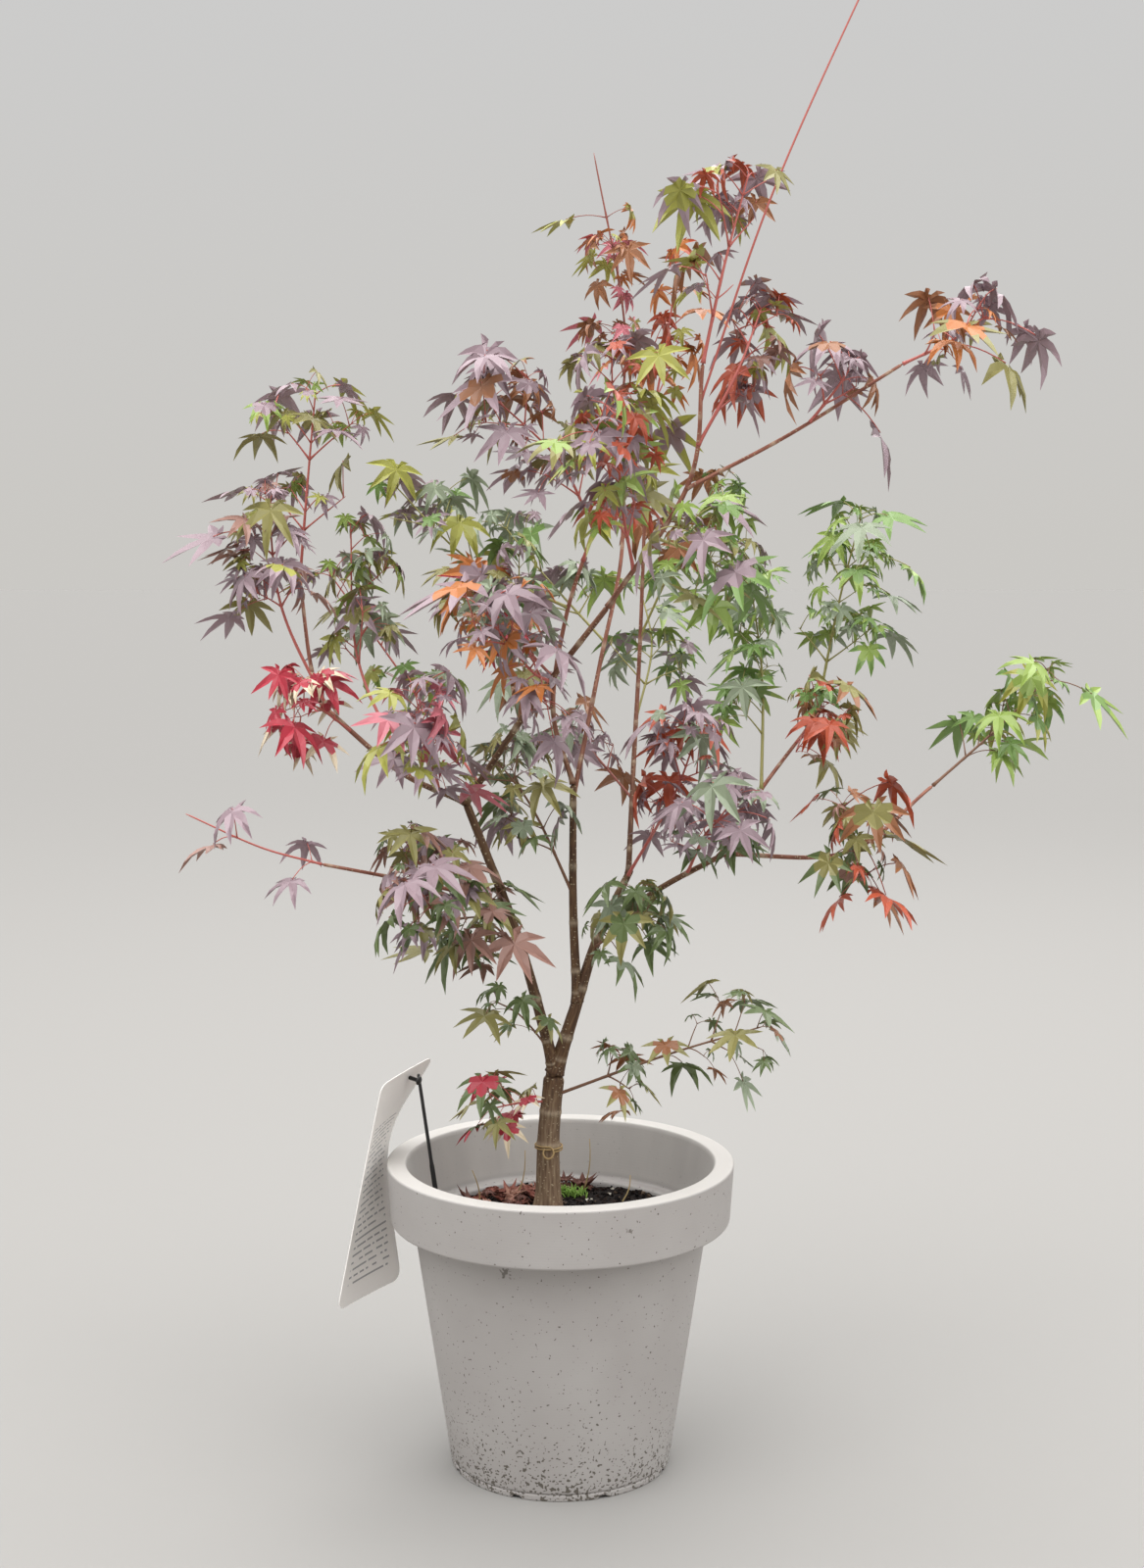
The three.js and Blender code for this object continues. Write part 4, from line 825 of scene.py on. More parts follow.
def barkTube(name, limb, rng):
    # Radius = taper x (1 + collar + node rings + ridges), and the trunk's lobed flare at its foot.
    b = barkForm
    isTrunk = name == "trunk"
    length = limb["length"]
    rings = int(length / (b["trunkRingStep"] if isTrunk else b["ringStep"])) + 2
    sides = 56 if isTrunk else 24 if limb["across"][0] > 6 else 16
    share = np.linspace(0, 1, rings)
    along = share * length
    angle = 2 * np.pi * np.arange(sides) / sides
    taper = mix(np.array(limb["across"], float), share) / 2
    form = np.ones((rings, sides))
    for count, depth, pitch in b["ridges"]:
        phase = rng.uniform(0, 2 * np.pi, 2)
        drift = 0.8 * np.sin(along * pitch + phase[0])[:, None]
        form += depth * np.cos(count * angle[None] + drift + phase[1])
    scar = np.zeros(rings)
    nodes = np.arange(b["nodeSpacing"] * rng.uniform(0.5, 0.9), length - 4, b["nodeSpacing"])
    for node in b["trunkNodes"] if isTrunk else nodes:
        ring = np.exp(-((along - node) / b["nodeWidth"]) ** 2)
        form += b["trunkNodeSwell" if isTrunk else "nodeSwell"] * ring[:, None]
        scar = np.maximum(scar, ring)
    if isTrunk:
        flare = np.exp(-along / trunkForm["flareHeight"])[:, None]
        spread = (trunkForm["flareAcross"] - limb["across"][0]) / 2
        lobes = 1 + trunkForm["flareLobes"] * flare * np.cos(3 * angle[None] + trunkForm["flareTurn"])
        fork = np.clip((along - length + b["forkReach"]) / b["forkReach"], 0, 1)[:, None] ** 2
        radii = (taper[:, None] + spread * flare) * lobes * form
        radii = radii * (1 + b["forkSpread"] * fork * np.cos(2 * angle[None] + np.pi))
        first, last = b["trunkTurns"]
        youth = 0.5 * np.clip((along - length + first) / (first - last), 0, 1)
    else:
        collar = b["collar"] * np.exp(-along / (b["collarReach"] * taper[0]))
        radii = taper[:, None] * (1 + collar[:, None]) * form
        place, width, strength = b["footScar"]
        scar = np.maximum(scar, strength * np.exp(-((along - place * taper[0]) / width) ** 2))
        thick, thin = b["youngAcross"]
        youth = 0.5 + 0.5 * np.clip((thick - 2 * taper) / (thick - thin), 0, 1)
    tail = np.clip((along[-1] - along) / (taper[-1] * 0.9), 0, 1)[:, None]
    radii = radii * np.sqrt(1 - (1 - tail) ** 2 * 0.9)
    points, faces = sweepTubes([curvePoint(limb["line"], share)], [radii], sides)
    unrolled = np.stack([radii * np.cos(angle), radii * np.sin(angle),
                         np.broadcast_to(along[:, None], radii.shape)], -1).reshape(-1, 3)
    place = np.concatenate([unrolled, [[0, 0, 0], [0, 0, along[-1]]]]) + rng.uniform(0, 900, 3)
    scar, youth = (np.append(np.repeat(values, sides), values[[0, -1]]) for values in (scar, youth))
    return points, faces, place * millimetre, scar, youth


def barkMaterial():
    # Smooth young maple bark, streaked lengthways, with pale lenticels and scar rings: tan on the trunk
    # (youth 0), olive-brown on the stems (0.5) and reddish on the thin boughs (1).
    b = barkForm
    material = addMaterial("young maple bark", "#6B6146", 0.72, 1.45)
    tree = material.node_tree
    place = addNode(tree, "Attribute", out="Vector", attribute_name="barkPlace")
    youth = addNode(tree, "Attribute", out="Fac", attribute_name="youth")
    scar = addNode(tree, "Attribute", out="Fac", attribute_name="scar")
    lengthways = addNode(tree, "Mapping", {"Vector": place, "Scale": (1.0, 1.0, 0.12)})
    streaks = addNode(tree, "TexNoise", {"Vector": lengthways, "Scale": 520.0, "Detail": 4.0})
    colour = None
    for step, tones in enumerate(b["tones"]):
        tone = addNode(tree, "ValToRGB", {"Fac": streaks}, list(zip((0.28, 0.5, 0.74), tones)))
        if step:
            share = addNode(tree, "MapRange", {"Value": youth, "From Min": 0.5 * step - 0.5, "From Max": 0.5 * step})
            tone = addNode(tree, "Mix", {0: share, 6: colour, 7: tone}, out=2, data_type="RGBA")
        colour = tone
    # Lenticels of about 1 mm, wider round the stem than along it
    crosswise = addNode(tree, "Mapping", {"Vector": place, "Scale": (1.0, 1.0, 1.7)})
    cells = addNode(tree, "TexVoronoi", {"Vector": crosswise, "Scale": 230.0})
    dot = addNode(tree, "MapRange", {"Value": cells, "From Min": 0.16, "From Max": 0.24, "To Min": 0.75,
                                     "To Max": 0.0})
    ringed = addNode(tree, "Math", {0: scar, 1: streaks}, operation="MULTIPLY")
    for share, tone in [(dot, b["lenticels"]), (ringed, b["scars"])]:
        colour = addNode(tree, "Mix", {0: share, 6: colour, 7: toLinear(tone)}, out=2, data_type="RGBA")
    relief = addNode(tree, "Math", {0: streaks, 1: dot}, operation="ADD")
    normal = addNode(tree, "Bump", {"Height": relief, "Strength": 0.35, "Distance": 0.0004})
    return linkShader(material, colour=colour, normal=normal)


def makeLimbs(limbs):
    rng = np.random.default_rng(3)
    tubes = [barkTube(name, limb, rng) for name, limb in limbs.items()]
    points, faces = joinParts([tube[:2] for tube in tubes])
    place, scar, youth = (np.concatenate([tube[k] for tube in tubes]) for k in (2, 3, 4))
    addPiece("trunkAndBoughs", points, faces, [barkMaterial()], "bark", list(limbs),
             attributes={"barkPlace": place, "scar": scar, "youth": youth})


tieForm = {
    "centre": (-10.0, 0.0, 276.0),
    "radius": 11.6,
    "turns": 1.94,
    "rise": 2.4,  # a turn
    "loop": (4.5, 5.0),  # half width and half drop
    "thickness": 0.75,
    "colour": "#A98E62",
}


def makeTie():
    # A helix round the trunk, whose end runs out into a small loop in front.
    f = tieForm
    turn = np.linspace(0, 2 * np.pi * f["turns"], 80)
    wrap = np.stack([f["radius"] * np.cos(turn - 1.2), f["radius"] * np.sin(turn - 1.2),
                     f["rise"] * turn / (2 * np.pi)], 1) + f["centre"]
    loopTurn = np.linspace(0, 1.75 * np.pi, 28)[1:, None]
    ahead = unit(wrap[-1] - wrap[-2])
    hang = np.array([0.0, -0.45, -0.9])
    loop = wrap[-1] + f["loop"][0] * np.sin(loopTurn) * ahead + f["loop"][1] * (1 - np.cos(loopTurn)) * hang
    line = np.vstack([wrap, loop])
    points, faces = sweepTubes([line], [np.full(len(line), f["thickness"])], 8)
    addPiece("trunkTie", points, faces, [addMaterial("raffia tie", f["colour"], 0.8)], "bark")


# Growth: the source's rule for twigs and leaves, then a finer round of twigs and leaves
rule = {
    "pairSpan": (0.24, 0.97),
    "twigPairs": (0.58, 0.95),
    "pairTurn": 90,
    "pairSway": 18,
    "stemRadius": 2.4,
    "twigRadius": 2.1,
    "twigLean": (0.8, 0.5, 0.22),
    "twigLengths": (0.8, 1.25),
    "twigFree": 0.3,
    "petioleShare": (0.5, 0.85),
    "lobeAngles": (100, 43, 0, -43, -100),
    "lobeLengths": (0.6, 0.9, 1, 0.9, 0.6),
    "sinusAngles": (66, 20, -20, -66),
    "sinusLengths": (0.26, 0.33, 0.33, 0.26),
    "leafCentre": 0.17,
    "leafDroop": 0.2,
    "leafOut": 0.8,
    "leafAlong": (0.2, 0.6),
    "leafUp": (-0.1, 0.35),
    "leafSizes": (0.78, 1.18),
    "leafSwing": 50,
    "leafTurn": 35,
    "leafDips": (8, 68),
    "leafRoll": 28,
    "leafTries": 15,
    "leavesPerPair": 2,
    "leafShrink": 0.02,
    "stalkFree": 0.2,
    "leafClear": 2.2,
    "spaceClear": 1.5,
    "limbClear": 1.2,
    "lowestLeaf": 275.0,
}
fineRule = {
    "looseness": 0.2,  # of the source's clearances, as real leaves nearly touch
    "tries": 12,
    "sizes": (0.55, 0.95),
    "perPair": 3.0,
    "leastShare": 0.4,  # of perPair, over which a mass gets fine twigs
    "twigLengths": (14, 30),
    "twigLean": (0.8, 0.6, 0.2),
    "twigRadius": 1.0,
    "twigFree": 0.3,
    "twigShare": 0.6,  # of the new nodes bear a fine twig, the others a leaf
    "tipSpan": 0.9,  # a stem whose leaves end past this share has young leaves at its tip
    "tipSize": (0.34, 0.56),
    "tipLeaves": 3,
    "tipTries": 4,
    "tipLooseness": 0.1,
    "shares": {  # of perPair, where the photo shows fewer or more leaves
        "low_left_tip": 0.0, "whip": 0.2, "trunk_left": 0.6, "stem_twig": 0.5, "far_tip": 0.7, "trunk_right": 0.7,
        "plume_top": 0.5, "top_right": 0.3, "top_right_tip": 0.4, "centre_front": 0.7,
        "top": 1.5, "top_low": 1.5, "back_top": 1.4, "back_top_right": 1.6, "leader": 1.2, "centre_high": 1.2,
        "centre_low": 1.5, "middle_low": 1.3, "back_low": 1.3, "stem_low": 1.3, "right": 0.7,
    },
}


def drawFrom(seed):
    state = [seed * 2654435761 % 2 ** 32]

    def draw(low, high):
        state[0] = (state[0] * 1664525 + 1013904223) % 2 ** 32
        return low + (high - low) * (state[0] / 2 ** 32)
    return draw


def stretchGaps(a, b):
    # Least distances between straight stretches a and b, each given by two ends, all with all.
    u = (a[:, 1] - a[:, 0])[:, None]
    v = (b[:, 1] - b[:, 0])[None]
    w = a[:, None, 0] - b[None, :, 0]
    uu, vv, uv = (u * u).sum(-1), (v * v).sum(-1), (u * v).sum(-1)
    uw, vw = (u * w).sum(-1), (v * w).sum(-1)
    spread = uu * vv - uv * uv
    s = np.where(spread > 1e-9, np.clip((uv * vw - vv * uw) / np.maximum(spread, 1e-9), 0, 1), 0)
    t = np.clip((uv * s + vw) / vv, 0, 1)
    s = np.clip((uv * t - uw) / uu, 0, 1)
    return np.linalg.norm(w + u * s[..., None] - v * t[..., None], axis=-1)


class Taken:
    # The stretches that are in use, each with its two ends, radius and owner.
    def __init__(self):
        self.ends = np.zeros((30000, 2, 3))
        self.radii = np.zeros(30000)
        self.owners = np.zeros(30000, int)
        self.names = {}
        self.count = 0

    def ownerOf(self, name):
        return self.names.setdefault(name, len(self.names))

    def add(self, ends, radius, name):
        stop = self.count + len(ends)
        self.ends[self.count:stop] = ends
        self.radii[self.count:stop] = radius
        self.owners[self.count:stop] = self.ownerOf(name)
        self.count = stop

    def isClear(self, ends, radius, skipped=None, looseness=1.0):
        ends = np.asarray(ends)
        centre = ends.reshape(-1, 3).mean(0)
        reach = np.linalg.norm(ends.reshape(-1, 3) - centre, axis=1).max() + radius
        known = self.ends[:self.count]
        half = np.linalg.norm(known[:, 1] - known[:, 0], axis=1) / 2
        near = np.linalg.norm(known.mean(1) - centre, axis=1) < reach + half + self.radii[:self.count]
        if skipped is not None:
            near &= self.owners[:self.count] != self.ownerOf(skipped)
        if not near.any():
            return True
        gaps = stretchGaps(ends, known[near])
        return bool((gaps > looseness * (radius + self.radii[:self.count][near])[None]).all())


def makeSpaces(limbs):
    stems = []
    for name, (start, share, bend, tip, pairs, reach, leaf, seed) in massRows.items():
        line = np.array([curvePoint(limbs[start]["line"], share), bend, tip], float)
        marks = curvePoint(line, np.arange(1, 13) / 12)
        parent = mix(limbs[start]["across"], share) / 2
        stems.append({"name": "foliage_" + name, "key": name, "line": line, "marks": marks, "pairs": pairs,
                      "span": bareShoots.get(name, rule["pairSpan"]), "reach": reach, "leaf": leaf,
                      "seed": seed, "parent": parent})
    return stems


def ownsAll(marks, index, points):
    # Nearer to the mass's own stem than to any other's, by twice the clearance, for all the points.
    gaps = np.linalg.norm(marks[None] - np.asarray(points)[:, None, None], axis=-1).min(2)
    own = gaps[:, index].copy()
    gaps[:, index] = np.inf
    return bool((gaps.min(1) > own + 2 * rule["spaceClear"]).all())


def placeLeaf(node, aim, size, draw):
    base = node + aim * (size * draw(*rule["petioleShare"]))
    flat = np.array([aim[0], aim[1], 0.0])
    if np.linalg.norm(flat) < 0.2:
        flat = np.array([draw(-1, 1), draw(-1, 1), 0.0])
    flat = turned(unit(flat), up, draw(-rule["leafTurn"], rule["leafTurn"]))
    dip = np.radians(draw(*rule["leafDips"]))
    ahead = flat * np.cos(dip) - up * np.sin(dip)
    face = turned(flat * np.sin(dip) + up * np.cos(dip), ahead, draw(-rule["leafRoll"], rule["leafRoll"]))
    across = np.cross(ahead, face)
    centre = base + ahead * rule["leafCentre"] * size

    def rim(angles, lengths):
        x = np.sin(np.radians(angles)) * np.array(lengths)
        y = np.cos(np.radians(angles)) * np.array(lengths)
        reach = x ** 2 + (y - rule["leafCentre"]) ** 2
        return (base + size * (x[:, None] * across + y[:, None] * ahead
                               - rule["leafDroop"] * reach[:, None] * face))
    return {"node": node, "base": base, "centre": centre, "ahead": ahead, "face": face, "across": across,
            "size": size, "tips": rim(rule["lobeAngles"], rule["lobeLengths"]),
            "sinuses": rim(rule["sinusAngles"], rule["sinusLengths"])}


def tryLeaf(place, attempt, size, draw):
    node, out, along, _ = place
    swing = draw(-rule["leafSwing"], rule["leafSwing"]) * min(1, attempt / 2)
    aim = turned(out, along, swing) * rule["leafOut"]
    aim = aim + along * draw(*rule["leafAlong"])
    aim = unit(aim + up * draw(*rule["leafUp"]))
    return placeLeaf(node, aim, size(draw), draw)


def leafFits(leaf, place, index, stem, marks, taken, looseness=1.0):
    root = place[3]
    if leaf["tips"][:, 2].min() <= rule["lowestLeaf"]:
        return False
    if not ownsAll(marks, index, [*leaf["tips"], leaf["base"]]):
        return False
    lobes = np.array([(leaf["centre"], tip) for tip in [*leaf["tips"], *leaf["sinuses"]]])
    stalkFrom = place[0] + (leaf["base"] - place[0]) * rule["stalkFree"]
    stalk = np.array([(stalkFrom, leaf["centre"])])
    if not taken.isClear(lobes, rule["leafClear"], None, looseness):
        return False
    if not taken.isClear(stalk, rule["leafClear"] / 2, root, looseness):
        return False
    taken.add(lobes, rule["leafClear"], stem["name"] + " leaf")
    taken.add(stalk, rule["leafClear"] / 2, stem["name"] + " leaf")
    return True


def growMass(index, stem, marks, taken):
    # Pairs along the stem, each turned a quarter from the last; every other pair is of side twigs.
    draw = drawFrom(stem["seed"])
    twigs, outer, inner, leaves = [], [], [], []
    phase = draw(0, 180)
    for pair in range(stem["pairs"]):
        share = mix(stem["span"], pair / (stem["pairs"] - 1))
        node = curvePoint(stem["line"], share)
        along = curveDirection(stem["line"], share)
        turn = phase + rule["pairTurn"] * pair + draw(-rule["pairSway"], rule["pairSway"])
        for half in (0, 180):
            out = squareTo(along, turn + half)
            if stem["reach"] == 0 or pair == stem["pairs"] - 1 or pair % 2:
                outer.append((node, out, along, stem["name"]))
                continue
            lean = rule["twigLean"]
            aim = unit(out * lean[0] + along * lean[1] + up * lean[2])
            end = node + aim * stem["reach"] * draw(*rule["twigLengths"])
            far = [(node + (end - node) * rule["twigFree"], end)]
            if not (taken.isClear(far, rule["twigRadius"], stem["name"]) and ownsAll(marks, index, [end])):
                outer.append((node, aim, along, stem["name"]))
                continue
            owner = f"{stem['name']} twig {len(twigs)}"
            twigs.append((node, end))
            taken.add(np.array([(node, end)]), rule["twigRadius"], owner)
            sideTurn = draw(0, 180)
            for step, twigShare in enumerate(rule["twigPairs"]):
                for side in (0, 180):
                    place = (node + (end - node) * twigShare,
                             squareTo(aim, sideTurn + side + rule["pairTurn"] * step), aim, owner)
                    (outer if step else inner).append(place)
    left = []
    for place in [*outer[::-1], *inner]:
        done = False
        for attempt in range(rule["leafTries"]):
            if len(leaves) >= round(rule["leavesPerPair"] * stem["pairs"]):
                break
            leaf = tryLeaf(place, attempt, lambda d: stem["leaf"] * d(*rule["leafSizes"]) * (
                1 - rule["leafShrink"] * attempt), draw)
            if leafFits(leaf, place, index, stem, marks, taken):
                leaves.append(leaf)
                done = True
                break
        if not done:
            left.append(place)
    return twigs, leaves, left


def growFiner(index, stem, grown, marks, taken):
    # Leaves for the places left over, fine twigs or leaves at new nodes between the pairs, and young leaves
    # at the tips.
    f = fineRule
    twigs, leaves, left = grown
    draw = drawFrom(stem["seed"] + 1000)
    fullness = f["shares"].get(stem["key"], 1)
    places = list(left)
    fineTwigs = []

    def addLeaf(place, tries, sizes, looseness):
        for attempt in range(tries):
            leaf = tryLeaf(place, attempt, lambda d: stem["leaf"] * d(*sizes), draw)
            if leafFits(leaf, place, index, stem, marks, taken, looseness):
                leaves.append(leaf)
                break

    for pair in range(stem["pairs"] - 1 if fullness > f["leastShare"] else 0):
        share = mix(stem["span"], (pair + 0.5) / (stem["pairs"] - 1))
        node = curvePoint(stem["line"], share)
        along = curveDirection(stem["line"], share)
        turn = draw(0, 180)
        for half in (0, 180):
            out = squareTo(along, turn + half)
            lean = f["twigLean"]
            end = node + unit(out * lean[0] + along * lean[1] + up * lean[2]) * draw(*f["twigLengths"])
            free = draw(0, 1) < f["twigShare"] and ownsAll(marks, index, [end]) and taken.isClear(
                [(node + (end - node) * f["twigFree"], end)], f["twigRadius"], stem["name"], f["looseness"])
            if not free:
                places.append((node, out, along, stem["name"]))
                continue
            owner = f"{stem['name']} fine twig {len(fineTwigs)}"
            fineTwigs.append((node, end))
            taken.add(np.array([(node, end)]), f["twigRadius"], owner)
            aim = unit(end - node)
            sideTurn = draw(0, 180)
            places += [(end, squareTo(aim, sideTurn + side), aim, owner) for side in (0, 180)]
    most = len(leaves) + round(f["perPair"] * stem["pairs"] * fullness)
    for place in places:
        if len(leaves) < most:
            addLeaf(place, f["tries"], f["sizes"], f["looseness"])
    ends = [(end, unit(end - node)) for node, end in twigs + fineTwigs]
    if stem["span"][1] > f["tipSpan"]:
        ends.append((stem["line"][-1], curveDirection(stem["line"], 1)))
    for end, along in ends:
        turn = draw(0, 180)
        for k in range(1 + round((f["tipLeaves"] - 1) * min(1, fullness))):
            out = squareTo(along, turn + 360 * k / f["tipLeaves"])
            addLeaf((end, out, along, stem["name"]), f["tipTries"], f["tipSize"], f["tipLooseness"])
    return fineTwigs


def growCrown(limbs):
    taken = Taken()
    for name, limb in limbs.items():
        ends = np.stack([limb["centres"][:-1], limb["centres"][1:]], 1)
        taken.add(ends, mix(limb["across"], 0.4) / 2 + rule["limbClear"], name)
    stems = makeSpaces(limbs)
    for stem in stems:
        line = curvePoint(stem["line"], np.linspace(0, 1, 7))
        taken.add(np.stack([line[:-1], line[1:]], 1), rule["stemRadius"], stem["name"])
    marks = np.array([stem["marks"] for stem in stems])
    grown = [growMass(index, stem, marks, taken) for index, stem in enumerate(stems)]
    print(f"source's rule: {sum(len(g[1]) for g in grown)} leaves on {sum(len(g[0]) for g in grown)} twigs")
    for index, (stem, mass) in enumerate(zip(stems, grown)):
        stem["fineTwigs"] = growFiner(index, stem, mass, marks, taken)
        stem["twigs"], stem["leaves"] = mass[0], mass[1]
    print(f"with the finer round: {sum(len(stem['leaves']) for stem in stems)} leaves")
    return stems


# Leaves: seven lobes from the petiole's end, each folded along its middle
leafForm = {
    "angles": (124, 82, 41, 0, -41, -82, -124),
    "lengths": (0.28, 0.66, 0.93, 1.0, 0.93, 0.66, 0.28),
    "centre": 0.14,  # from the petiole's end, in leaf lengths as all the shares below
    "notchShare": 0.33,  # of the lobe lengths beside it
    "footNotch": 0.035,
    "outline": [(0.44, 0.115), (0.72, 0.068)],  # along the lobe and to its side
    "middle": 0.5,
    "fold": 0.05,
    "thickness": 0.009,
    "bend": (0.2, 1.5),  # radians per leaf length
    "sag": 0.12,  # of the tips
    "jitter": (7.0, 0.12),  # degrees and share of length
    "scale": 0.93,  # of the solids' leaves
    "seed": 44,
    "otherTips": 0.4,  # of the leaves have lobe ends of another tint of their spray
    "driedTips": 0.5,  # of the crimson leaves have pale dry lobe ends
}
tints = {
    "mauve": "#937E85", "mauveBronze": "#936E62", "greyGreen": "#88937A",
    "darkGreen": "#5E6D41", "midGreen": "#6F8C4A", "freshGreen": "#869C4A", "yellowGreen": "#9A9A48",
    "olive": "#857F4A", "bronze": "#8E5D3C", "orange": "#B06A34", "redOrange": "#A84B30",
    "crimson": "#A62E3D", "pink": "#B5656F", "driedEdge": "#CDBEA4",
}
shoots = {"coral": "#B5625A", "dusk": "#8F5349", "green": "#908A50", "brown": "#7A5844"}
sprays = {  # leaf tints, then shoot and petiole colour
    "plume_top": ("yellowGreen mauve olive freshGreen mauve", "coral"),
    "plume_left": ("mauve mauve olive mauve yellowGreen mauveBronze", "coral"),
    "plume_right": ("yellowGreen freshGreen olive mauve greyGreen", "coral"),
    "plume_back": ("yellowGreen midGreen freshGreen mauve greyGreen", "coral"),
    "left_red": ("crimson crimson crimson pink", "coral"),
    "left_inner": ("mauve pink mauve mauve yellowGreen", "coral"),
    "low_left": ("mauve mauveBronze mauve olive darkGreen", "dusk"),
    "low_left_tip": ("mauve mauveBronze mauve", "coral"),
    "stem_low": ("darkGreen olive mauveBronze darkGreen", "brown"),
    "centre_low": ("greyGreen darkGreen olive mauve", "brown"),
    "centre_front": ("mauve mauve mauve greyGreen orange", "coral"),
    "centre_left": ("greyGreen mauve olive crimson orange", "dusk"),
    "left_high": ("greyGreen midGreen greyGreen yellowGreen mauve", "green"),
    "centre_top": ("mauve mauve mauve olive bronze", "coral"),
    "centre_high": ("mauve olive mauve yellowGreen redOrange", "coral"),
    "leader": ("mauve mauve yellowGreen freshGreen olive redOrange", "coral"),
    "leader_low": ("midGreen freshGreen olive mauve", "green"),
    "top_low": ("mauve redOrange mauve yellowGreen mauveBronze", "coral"),
    "top": ("mauve mauve mauve redOrange bronze yellowGreen", "coral"),
    "whip": ("orange olive bronze", "coral"),
    "top_right": ("mauve mauve mauve bronze", "coral"),
    "top_right_tip": ("mauve olive mauve bronze orange", "coral"),
    "back_top": ("orange bronze yellowGreen pink bronze", "dusk"),
    "back_top_right": ("orange bronze redOrange yellowGreen", "coral"),
    "back_left": ("greyGreen midGreen mauve greyGreen", "green"),
    "back": ("midGreen greyGreen freshGreen mauve", "green"),
    "back_low": ("mauve greyGreen bronze mauve", "dusk"),
    "back_right": ("freshGreen midGreen greyGreen bronze", "green"),
    "middle": ("mauve redOrange mauve mauve greyGreen", "coral"),
    "middle_low": ("darkGreen olive greyGreen darkGreen", "brown"),
    "right": ("mauve mauve greyGreen mauve darkGreen", "coral"),
    "right_fork": ("olive mauveBronze darkGreen redOrange bronze", "dusk"),
    "far_tip": ("freshGreen midGreen freshGreen yellowGreen", "brown"),
    "right_inner": ("greyGreen midGreen freshGreen midGreen", "green"),
    "right_low": ("bronze redOrange olive midGreen", "coral"),
    "right_high": ("freshGreen midGreen freshGreen greyGreen", "green"),
    "trunk_right": ("darkGreen greyGreen darkGreen bronze olive", "brown"),
    "trunk_left": ("olive darkGreen olive crimson", "coral"),
    "stem_twig": ("darkGreen olive darkGreen", "brown"),
}


leafCorners = 59


def leafFaces(count):
    # Corners of one leaf: 0 the middle, 1 to 8 the notches, then for each lobe two on its right, the tip,
    # two on its left and a middle point. The lower face has its own middle points.
    faces, isTip = [], []
    for lobe in range(7):
        first = 9 + 6 * lobe
        rim = [0, 1 + lobe, first, first + 1, first + 2, first + 3, first + 4, 2 + lobe, 0]
        faces += [(a, b, first + 5) for a, b in zip(rim[:-1], rim[1:])]
        isTip += [False, False, True, True, True, True, False, False]
    faces.append((0, 8, 1))
    isTip.append(False)
    lower = {0: 51, **{9 + 6 * lobe + 5: 52 + lobe for lobe in range(7)}}
    bottom = [[lower.get(i, i) for i in face[::-1]] for face in faces]
    faces = np.vstack([faces, bottom])[None] + (np.arange(count) * leafCorners)[:, None, None]
    return faces.reshape(-1, 3), np.array(isTip * 2)


def leafPoints(leaves, rng, bend=None, fold=None, notchShare=None):
    # In the leaf's own axes a point s along a lobe at angle a and w to its side stands at
    # x = s sin a + w cos a and y = s cos a - w sin a. Its distance r from the middle is then bent into
    # sin(k r) / k outwards and (1 - cos(k r)) / k downwards, for a bend of k.
    f = leafForm
    count = len(leaves)
    angles = np.radians(np.array(f["angles"])[None] + rng.uniform(-1, 1, (count, 7)) * f["jitter"][0])
    lengths = np.array(f["lengths"])[None] * (1 + rng.uniform(-1, 1, (count, 7)) * f["jitter"][1])
    bend = rng.uniform(*f["bend"], (count, 1)) if bend is None else bend
    bend = np.where(np.abs(bend) < 0.01, 0.01, bend)
    x = np.zeros((count, leafCorners))
    y = np.zeros((count, leafCorners))
    sag = np.zeros((count, leafCorners))
    y[:, 0] = f["centre"]
    between = (angles[:, :-1] + angles[:, 1:]) / 2
    depth = (notchShare or f["notchShare"]) * (lengths[:, :-1] + lengths[:, 1:]) / 2
    x[:, 2:8] = np.sin(between) * depth
    y[:, 2:8] = np.cos(between) * depth
    x[:, [1, 8]] = [f["footNotch"], -f["footNotch"]]
    (low, lowSide), (high, highSide) = f["outline"]
    tilt = rng.uniform(-1, 1, (count, 7))
    rim = [(low, lowSide), (high, highSide), (1.0, 0.0), (high, -highSide), (low, -lowSide), (f["middle"], 0.0)]
    for k, (s, w) in enumerate(rim):
        reach = s * lengths
        width = w * np.sqrt(lengths) * rng.uniform(0.85, 1.15, (count, 1))
        x[:, 9 + k:51:6] = np.sin(angles) * reach + np.cos(angles) * width
        y[:, 9 + k:51:6] = np.cos(angles) * reach - np.sin(angles) * width
        sag[:, 9 + k:51:6] = f["sag"] * tilt * s ** 2
    depthOfFold = f["fold"] if fold is None else fold
    sag[:, 14:51:6] += depthOfFold
    sag[:, 0] = depthOfFold / 2
    for under, above in [(51, 0), *[(52 + lobe, 14 + 6 * lobe) for lobe in range(7)]]:
        x[:, under] = x[:, above]
        y[:, under] = y[:, above]
        sag[:, under] = sag[:, above] + f["thickness"]
    away = np.hypot(x, y - f["centre"])
    pulled = np.sin(bend * away) / bend / np.maximum(away, 1e-9)
    x = x * pulled
    y = f["centre"] + (y - f["centre"]) * pulled
    z = -(1 - np.cos(bend * away)) / bend - sag
    size = f["scale"] * np.array([leaf["size"] for leaf in leaves])[:, None, None]
    base = np.array([leaf["base"] for leaf in leaves])[:, None]
    across, ahead, face = (np.array([leaf[axis] for leaf in leaves])[:, None] for axis in ("across", "ahead", "face"))
    return base + size * (x[..., None] * across + y[..., None] * ahead + z[..., None] * face)


